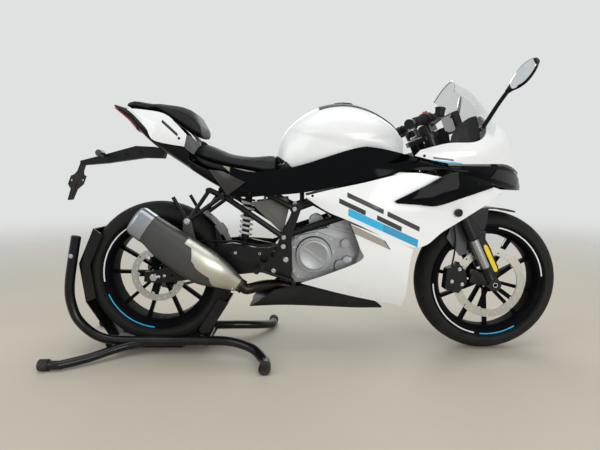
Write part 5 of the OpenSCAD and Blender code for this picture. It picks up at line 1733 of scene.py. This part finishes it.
@dataclass
class RollingGear:
    """Swingarm, drive chain, rear shock, brakes and axles of the rear end."""

    drive: Pair = (-35, 398)
    drive_r: float = 30.0
    rear: Pair = (-630, 325)
    rear_r: float = 86.0
    chain_in: float = 76.0
    chain_out: float = 90.0
    pitch: float = 15.875
    pin: Pair = (6.6, 4.6)
    roller: Pair = (3.6, 9.4)
    plate_places: Pair = (5.2, 3.6)
    plate_t: float = 1.4
    shock_low: Point = (-282, 0, 440)
    shock_high: Point = (-258, 0, 679)
    coil_turns: int = 7
    coil_r: float = 23.0
    wire_d: float = 11.0

    def build(self) -> None:
        """Builds the rear running gear."""
        machined("swingarm", FRAME_COAT, 4.0)
        machined("hugger", MATT_PLASTIC, 1.5)
        machined("rear_caliper", DARK_METAL, 4.0)
        machined("rear_axle", BRIGHT_STEEL, 1.0)
        machined("rear_sprocket", CHAIN_STEEL, 0.8, body=Body.REAR_WHEEL)
        machined("side_stand", FRAME_COAT, 2.0, body=Body.SIDE_STAND)
        self.chain()
        self.shock()
        bolts = MeshKit()
        for x, z in ((-560, 400), (-520, 370)):
            bolts.bolt((x, -93.8, z), RIGHT, 12.0, 5.0)
        for x, z in ((-612, 326), (-590, 330)):
            bolts.nut((x, -116, z), RIGHT, 9.0, 5.0)
        dress(bolts.build("rear_bolts"), BRIGHT_STEEL)

    def chain_line(self, count: int) -> np.ndarray:
        """Gives evenly spread points round the chain's loop, as x and z.

        Args:
            count: Number of points.

        Returns:
            Points as x and z.
        """
        a, b = np.array(self.drive), np.array(self.rear)
        span = a - b
        base = math.atan2(span[1], span[0])
        lean = math.acos((self.rear_r - self.drive_r) / np.linalg.norm(span))
        small = np.linspace(base - lean, base + lean, 40)
        large = np.linspace(base + lean, base - lean + 2 * math.pi, 90)
        ring = [a + self.drive_r * np.array([math.cos(t), math.sin(t)]) for t in small]
        ring += [b + self.rear_r * np.array([math.cos(t), math.sin(t)]) for t in large]
        loop = np.array(ring + ring[:1])
        gone = np.concatenate([[0], np.cumsum(np.linalg.norm(np.diff(loop, axis=0), axis=1))])
        want = np.arange(count) * gone[-1] / count
        return np.stack([np.interp(want, gone, loop[:, k]) for k in (0, 1)], axis=1)

    def chain(self) -> None:
        """Builds the chain link by link: rollers, pins, and inner and outer side plates in turn."""
        loop = self.chain_line(2000)
        length = np.linalg.norm(np.diff(loop, axis=0), axis=1).sum()
        count = 2 * round(length / self.pitch / 2)
        pins = self.chain_line(count)
        kit = MeshKit()
        middle = (self.chain_in + self.chain_out) / 2
        for k, (x, z) in enumerate(pins):
            nx, nz = pins[(k + 1) % count]
            for (half, d), sides in ((self.pin, 10), (self.roller, 12)):
                kit.bar((x, middle - half, z), (x, middle + half, z), d, sides)
            for side in (-1, 1):
                face = middle + side * self.plate_places[k % 2]
                low, high = sorted((face, face + self.plate_t * side))
                kit.plate(self.link((x, z), (nx, nz)), low, high)
        dress(kit.build("chain_links"), CHAIN_STEEL, "chain")

    @staticmethod
    def link(a: Pair, b: Pair) -> list[Pair]:
        """Gives the waisted outline of one side plate.

        Args:
            a: One pin, as x and z.
            b: The next pin.

        Returns:
            Corners round the plate.
        """
        start, end = np.array(a), np.array(b)
        run = (end - start) / np.linalg.norm(end - start)
        side = np.array([-run[1], run[0]])
        outline = [end + 6.0 * (math.cos(t) * run + math.sin(t) * side) for t in np.linspace(-1.9, 1.9, 9)]
        outline.append((start + end) / 2 + 4.2 * side)
        outline += [start - 6.0 * (math.cos(t) * run + math.sin(t) * side) for t in np.linspace(-1.9, 1.9, 9)]
        outline.append((start + end) / 2 - 4.2 * side)
        return [(float(x), float(z)) for x, z in outline]

    def shock(self) -> None:
        """Builds the shock absorber's body and its white coil spring."""
        low, high = np.array(self.shock_low, float), np.array(self.shock_high, float)
        kit = MeshKit().bar(low, high, 30, 32)
        kit.plate([(-290, 432.3), (-272, 432.3), (-272, 446), (-290, 446)], -15, 15)
        run = unit(high - low)
        for place, size in ((26, 58), (186, 58)):
            kit.bar(low + place * run, low + (place + 7) * run, size, 32)
        dress(soften(kit.build("shock_body"), 1.5), DARK_METAL, "rear_shock")
        side = unit(np.cross(run, LEFT))
        turn = np.linspace(0, self.coil_turns * 2 * math.pi, 210)[:, None]
        ring = np.cos(turn) * side + np.sin(turn) * np.array(LEFT)
        path = low + (36 + 146 * turn / turn[-1]) * run + self.coil_r * ring
        coil = MeshKit().tube(path, self.wire_d, 14)
        dress(coil.build("shock_spring"), SPRING_WHITE)


@dataclass
class PowerUnit:
    """Frame tubes, engine, radiator and footrests."""

    clutch: Pair = (6, 419)
    clutch_face: float = 160.0
    flange: Outline = (
        (-78, 345), (-62, 322), (60, 318), (84, 350), (92, 430), (80, 486), (20, 506), (-50, 492), (-80, 450))
    bright_bolts: tuple[tuple[float, float, float, float], ...] = (
        (-113, 452, 145.7, 15), (-104, 399, 136.7, 17), (-152, 356, 145.7, 15), (-205, 425, 145.7, 12),
        (-300, 428, 148.7, 10), (-70, 600, 158.7, 15), (-112, 490, 158.7, 15))
    hose_d: float = 7.0
    hose_route: Route = (
        (-522, -70, 440), (-500, -74, 452), (-462, -86, 462), (-420, -100, 470), (-360, -105, 468),
        (-300, -105, 468), (-240, -106, 456), (-190, -108, 444), (-160, -112, 440))
    cover_profile: Outline = ((58.5, -1), (58.5, 1.2), (56, 2.4), (50, 2.8), (48, 1.8), (2, 2.2))
    cover_bar: Outline = ((-44, 26), (-38, 35), (44, -22), (38, -32))
    # Section of a thin dark ring on the casing round the clutch cover: painted shadow along the cover's rim.
    painted_shadow_ring: Outline = ((68.2, 0), (71.5, 0), (71.5, 1.8), (68.2, 1.8))
    rim_y: float = 118.0
    hanger_bolt: Point = (-484, -158, 552)
    core_x: Pair = (322.0, 340.0)
    core_z: Pair = (400.0, 610.0)
    core_half: float = 130.0
    side_tank: float = 14.0
    tube_gap: float = 14.0
    tube_count: int = 14
    fin_count: int = 64

    def build(self) -> None:
        """Builds the frame, the engine and what hangs on them."""
        machined("main_frame", FRAME_COAT, 2.0)
        machined("subframe", FRAME_COAT, 2.0)
        self.engine()
        machined("footrests", FRAME_COAT, 2.0)
        machined("side_covers", SIDE_GREY, 1.5)
        self.radiator()
        self.covers()
        self.hose()

    def engine(self) -> None:
        """Builds the castings, with a round clutch cover that has one slanted bar, and a thin dark ring of
        painted shadow round the cover.
        """
        piece = cad_copy("engine", "engine_finished")
        cut_away(piece, lambda point: point.y < -(self.clutch_face + 0.4) * MM)
        dress(soften(piece, 5.0), CAST_METAL, "engine")
        x, z = self.clutch
        face = (x, -self.clutch_face, z)
        cover = MeshKit().revolve(self.cover_profile, face, RIGHT, 72)
        bar = [(x + u, z + w) for u, w in self.cover_bar]
        cover.plate(bar, -self.clutch_face - 4.6, -self.clutch_face)
        dress(soften(cover.build("clutch_cover"), 1.2), CAST_METAL)
        # Thin dark ring round the cover's foot: painted shadow along its rim, not a part of the engine.
        painted_shadow_ring = MeshKit().revolve(self.painted_shadow_ring, (x, -self.rim_y, z), RIGHT, 72, closed=True)
        dress(painted_shadow_ring.build("clutch_painted_shadow_ring"), DARK_METAL)

    def radiator(self) -> None:
        """Builds the radiator: side tanks, a core of fins and the bars before it."""
        (x0, x1), (z0, z1), half = self.core_x, self.core_z, self.core_half
        kit = MeshKit().block((x0, -half, z0), (x1, half, z1))
        for low in (-half - self.side_tank, half):
            kit.block((x0 - 10, low, z0 + 5), (x1 + 10, low + self.side_tank, z1 - 5))
        for k in range(self.tube_count):
            z = z0 + 8 + self.tube_gap * k
            kit.block((x0 - 6, -half - 1, z), (x1 + 6, half + 1, z + 6))
        dress(soften(kit.build("radiator_frame"), 2.0), MATT_PLASTIC, "radiator")
        fins = MeshKit()
        for k in range(self.fin_count):
            y = 2 - half + 4 * k
            fins.block((x0 - 1.6, y, z0 + 2), (x1 + 1.6, y + 1.2, z1 - 2))
        dress(fins.build("radiator_fins"), DARK_METAL)

    def covers(self) -> None:
        """Sets the bolts of the engine's cover and of the frame."""
        bolts = MeshKit()
        for x, z in self.flange:
            run = unit((self.clutch[0] - x, self.clutch[1] - z))
            bolts.bolt((x + 10 * run[0], -self.rim_y, z + 10 * run[1]), RIGHT, 9, 5)
        for x, z, y, d in self.bright_bolts:
            bolts.bolt((x, -y, z), RIGHT, d, 6)
            bolts.bolt((x, y, z), LEFT, d, 6)
        bolts.bolt(self.hanger_bolt, RIGHT, 19, 8)
        dress(bolts.build("cover_bolts"), BRIGHT_STEEL)

    def hose(self) -> None:
        """Runs the rear brake hose from the caliper along the swingarm to the frame."""
        lay_hose("rear_brake_hose", self.hose_route, self.hose_d)


@dataclass
class Exhaust:
    """Header pipe, muffler and its steel trim."""

    rear: Point = (-670, -190, 554)
    tilt: float = 34.5
    square: float = 2.6
    rows: tuple[tuple[float, ...], ...] = (
        (24, 7, 57, 46, 0), (70, 6, 58, 48, 0), (130, 0, 66, 53, 0), (205, -1, 70, 56, 0),
        (262, 0, 71, 56, 0), (320, 2, 68, 55, 2), (376, 8, 55, 47, 8), (430, 12, 35, 34, 22),
        (470, 12, 24, 24, 32))
    cap_rows: tuple[tuple[float, ...], ...] = (
        (-6, 8, 50, 39, 0), (4, 8, 57, 46, 0), (24, 7, 58.4, 47.4, 0), (58, 6.3, 58.8, 48.6, 0))
    outlet_r: float = 20.0
    shield_low: tuple[float, ...] = (36, 36, 4, -2, -5, -8, -38, -45, -52, -55)
    shield_high: float = 72.0
    shield_lift: float = 4.6
    tab: Outline = ((-500, 480), (-500, 552), (-492, 566), (-476, 566), (-468, 552), (-450, 470))
    mouth: Point = (12, 32, 470.3)
    header_d: float = 42.0
    header: Route = (
        (258, 0, 566), (284, -4, 520), (286, -20, 420), (262, -38, 330), (190, -52, 276), (60, -60, 262),
        (-60, -62, 266), (-130, -76, 284), (-190, -116, 292), (-236, -148, 288))

    def build(self) -> None:
        """Builds the exhaust from the engine to its outlet."""
        self.pipe()
        self.muffler()
        self.cap()
        self.shield()

    def at(self, rise: object, across: object, place: object) -> np.ndarray:
        """Gives points of the muffler's frame: above its axis, across and forward along it.

        Args:
            rise: Heights over the axis.
            across: Places to the left of it.
            place: Places forward along it.

        Returns:
            Points in the bike's frame.
        """
        a = math.radians(self.tilt)
        rise, across, place = np.broadcast_arrays(rise, across, place)
        spread = np.stack([place * math.cos(a) + rise * math.sin(a), across,
                           rise * math.cos(a) - place * math.sin(a)], axis=-1)
        return np.array(self.rear, float) + spread

    def ring(self, row: Spot, turn: np.ndarray) -> np.ndarray:
        """Gives the points of a station.

        Args:
            row: Place, rise, half height, half width and shift in.
            turn: Angles up from the outer side, in radians.

        Returns:
            Points at those angles.
        """
        place, rise, high, wide, shift = row
        up, out = np.sin(turn), np.cos(turn)
        up = np.sign(up) * np.abs(up) ** (2 / self.square)
        out = np.sign(out) * np.abs(out) ** (2 / self.square)
        return self.at(rise + high * up, shift - wide * out, place)

    def pipe(self) -> None:
        """Builds the header pipe and the clamp at the muffler's mouth."""
        rise, across, _ = self.mouth
        mouth = self.at(*self.mouth)
        route = smooth_line(np.array([*self.header, self.at(rise, across, 492)], float), 10)
        kit = MeshKit().tube(np.concatenate([route, [mouth]]), self.header_d, 36)
        dress(kit.build("header_pipe"), HEADER_STEEL, "exhaust_header")
        run = unit(self.at(rise, across, 1) - self.at(rise, across, 0))
        clamp = MeshKit().revolve([(25.5, -9), (27, -8), (27, 8), (25.5, 9)], mouth, run, 40)
        dress(clamp.build("exhaust_clamp"), DARK_METAL)

    def muffler(self) -> None:
        """Builds the muffler's body and the tab that it hangs from."""
        turn = -np.linspace(0, 2 * math.pi, 72, endpoint=False)
        body = np.array([self.ring(r, turn) for r in smooth_line(np.array(self.rows), 8)])
        kit = MeshKit().net(body, loop_cols=True, cap=True).plate(self.tab, -158, -150.3)
        dress(soften(kit.build("muffler_body", 50.0), 1.2, angle=50.0), MUFFLER_COAT, "muffler")

    def cap(self) -> None:
        """Builds the bright end cap with its round outlet."""
        turn = -np.linspace(0, 2 * math.pi, 72, endpoint=False)
        rows = [self.ring(r, turn) for r in smooth_line(np.array(self.cap_rows), 5)]
        up, out = self.outlet_r * np.sin(turn), -self.outlet_r * np.cos(turn)
        rows = [self.at(up, out, 13), self.at(up, out, -4.5), self.at(1.1 * up, 1.1 * out, -6), *rows]
        kit = MeshKit().net(np.array(rows), loop_cols=True, cap=True)
        dress(soften(kit.build("muffler_cap", 30.0), 0.8), CAP_STEEL, "muffler_trim")
        run = self.at(0, 0, 0) - self.at(0, 0, 1)
        profile = [(19.4, 0), (19.4, 12), (18.6, 12), (18.6, 1), (1, 1)]
        bore = MeshKit().revolve(profile, self.at(0, 0, 12.4), run, 40)
        dress(bore.build("muffler_outlet"), MATT_PLASTIC)

    def shield(self) -> None:
        """Builds the stepped steel heat shield over the muffler's front half."""
        stations = smooth_line(np.array(self.rows), 8)[24:61]
        low = np.interp(np.linspace(0, 9, len(stations)), np.arange(10), self.shield_low)
        share = np.linspace(0, 1, 25)
        net = np.array([self.ring(r, np.radians(a + (self.shield_high - a) * share))
                        for r, a in zip(stations, low)]).transpose(1, 0, 2)
        kit = MeshKit().shell(net, 2.4, self.shield_lift)
        dress(soften(kit.build("muffler_shield"), 0.8), SHIELD_STEEL)
        screws = MeshKit()
        out = net_outward(net)
        skin = net + self.shield_lift * out
        for i, j in ((12, 3), (21, 18), (5, 34)):
            screws.bolt(skin[i, j], out[i, j], 8, 3)
        dress(screws.build("shield_screws"), BRIGHT_STEEL)


@dataclass
class SmallParts:
    """Indicators and mirrors."""

    mirror_foot: Point = (690, 254, 1027)
    mirror_tip: Point = (735, 364, 1106)
    mirror_half_t: float = 8.0
    mirror_arm: Route = ((640, 160, 905), (652, 184, 936), (672, 222, 988))
    mirror_rows: Outline = (
        (-0.06, 9), (0.1, 17), (0.28, 29), (0.5, 36), (0.7, 33), (0.87, 23), (0.97, 10))

    def build(self) -> None:
        """Dresses the fittings."""
        machined("indicators", SMOKE_LENS, 2.0)
        self.mirrors()

    def leaf(self, turn: np.ndarray) -> np.ndarray:
        """Gives the points of the left mirror's head.

        Args:
            turn: Angles round the head, in radians; a quarter turn faces the rider.

        Returns:
            Points by place along the head, then by angle.
        """
        foot, tip = np.array(self.mirror_foot, float), np.array(self.mirror_tip, float)
        run = unit(tip - foot)
        back = np.array([-1.0, 0.15, 0.0])
        back = unit(back - np.dot(back, run) * run)
        wide = np.cross(back, run)
        rows = smooth_line(np.array(self.mirror_rows), 6)
        return np.array([
            foot + t * (tip - foot) + r * np.outer(np.cos(turn), wide)
            + min(r, self.mirror_half_t) * np.outer(np.sin(turn), back) for t, r in rows])

    def mirrors(self) -> None:
        """Builds the mirror arms, their leaf-shaped heads and the glass."""
        head = self.leaf(np.linspace(0, 2 * math.pi, 40, endpoint=False))
        kit = MeshKit().net(head, loop_cols=True, cap=True)
        kit.bar((640, 130.2, 905), (640, 168, 905), 20, 32)
        arm = smooth_line(np.array([*self.mirror_arm, self.mirror_foot], float), 6)
        kit.tube(arm, np.linspace(17, 14.5, len(arm)), 24)
        piece = kit.mirrored().build("mirror_heads")
        dress(soften(piece, 1.0, angle=50), MIRROR_BLACK, "mirrors")
        face = self.leaf(np.radians(np.linspace(38, 142, 21)))[7:-4]
        glass = MeshKit().shell(face, 1.0, 0.5).mirrored()
        dress(glass.build("mirror_glasses"), MIRROR_GLASS)


@dataclass
class Chock:
    """Wheel chock and stand under the rear wheel."""

    tube_d: float = 38.0
    half: float = 102.0
    path: Route = (
        (-941, 102, 487), (-962, 102, 382), (-977, 102, 287), (-974, 102, 215), (-945, 102, 140),
        (-868, 102, 76), (-756, 102, 58), (-459, 102, 58), (-330, 110, 57), (-240, 150, 44),
        (-190, 214, 26), (-178, 244, 22), (-178, 262, 22))
    front_end: Point = (-178, 270, 22)
    rear_path: Route = (
        (-690, 102, 50), (-770, 130, 40), (-862, 204, 27), (-935, 252, 22), (-947, 262, 22))
    rear_end: Point = (-985, 262, 22)
    hole_at: Pair = (-520.0, 58.0)
    hole_count: int = 6
    hole_gap: float = 32.0
    bars: Outline = ((-830.0, 41.0), (-430.0, 48.0))

    def build(self) -> None:
        """Builds the stand from its tubes to its feet."""
        self.tubes()
        machined("chock_cradle", CHOCK_COAT, 1.0)
        machined("chock_feet", FOOT_RUBBER, 3.0)
        self.fittings()

    def tubes(self) -> None:
        """Builds the bent tubes and the bars between them."""
        kit = MeshKit()
        front = smooth_line(np.array(self.path, float), 8)
        kit.tube(np.concatenate([front, [self.front_end]]), self.tube_d, 32)
        behind = smooth_line(np.array(self.rear_path, float), 8)
        kit.tube(np.concatenate([behind, [self.rear_end]]), self.tube_d - 4, 32)
        kit.mirrored()
        for x, z in self.bars:
            kit.bar((x, -self.half, z), (x, self.half, z), 26.0, 32)
        dress(soften(kit.build("chock_tubes"), 1.5), CHOCK_COAT, "chock_frame")

    def fittings(self) -> None:
        """Sets the pins through the uprights, their clips, the tube plugs, and flat dark discs of painted
        shade for the row of adjusting holes.
        """
        pins, holes = MeshKit(), MeshKit()
        start, end = np.array(self.path[0], float), np.array(self.path[1], float)
        run = unit(start - end)
        holes.revolve([(16.2, -3), (16.2, 0.6), (2, 0.7)], start, run, 32)
        spot = start - 78 * run
        pins.bar(spot - (0, 27, 0), spot + (0, 27, 0), 9.0, 18)
        pins.bar(spot - (34, 24, -6), spot + (10, -24, 6), 4.0, 12)
        for side in (-1, 1):
            pins.revolve([(9, 0), (9, 2.5), (6, 3)], spot + (0, side * 19, 0), (0, side, 0), 24)
        # The adjusting holes are flat dark discs on the tube: painted shade where the holes' insides would
        # be.
        x, z = self.hole_at
        for k in range(self.hole_count):
            spot = (x + self.hole_gap * k, self.half + self.tube_d / 2, z)
            holes.revolve([(5.2, -1), (5.2, 0.5), (1, 0.6)], spot, LEFT, 18)
        dress(pins.mirrored().build("chock_pins"), BRIGHT_STEEL)
        dress(holes.mirrored().build("chock_plugs_and_hole_shade"), GRIP_RUBBER)


def main() -> None:
    """Builds every sub-assembly in order, then the studio."""
    logging.basicConfig(level=logging.INFO, format="%(message)s")
    Bodywork().build()
    TankAndSeats().build()
    PowerUnit().build()
    Exhaust().build()
    RollingGear().build()
    FrontEnd().build()
    Wheel("front", Body.FRONT_WHEEL, DISC_FRONT, (730, 0, 293), r=293, half=56, bead_half=40,
          disc_face=62, arm_r=117, pinstripes=((5, 80, STRIPE_WHITE), (183, 258, STRIPE_WHITE),
                                               (264, 302, STRIPE_CYAN))).build()
    Wheel("rear", Body.REAR_WHEEL, DISC_REAR, (-630, 0, 325), r=300, half=71, bead_half=54,
          disc_face=62, arm_r=84, pinstripes=((108, 188, STRIPE_WHITE), (202, 264, STRIPE_CYAN))).build()
    SmallParts().build()
    Chock().build()
    Studio().build()


if __name__ == "__main__":
    main()
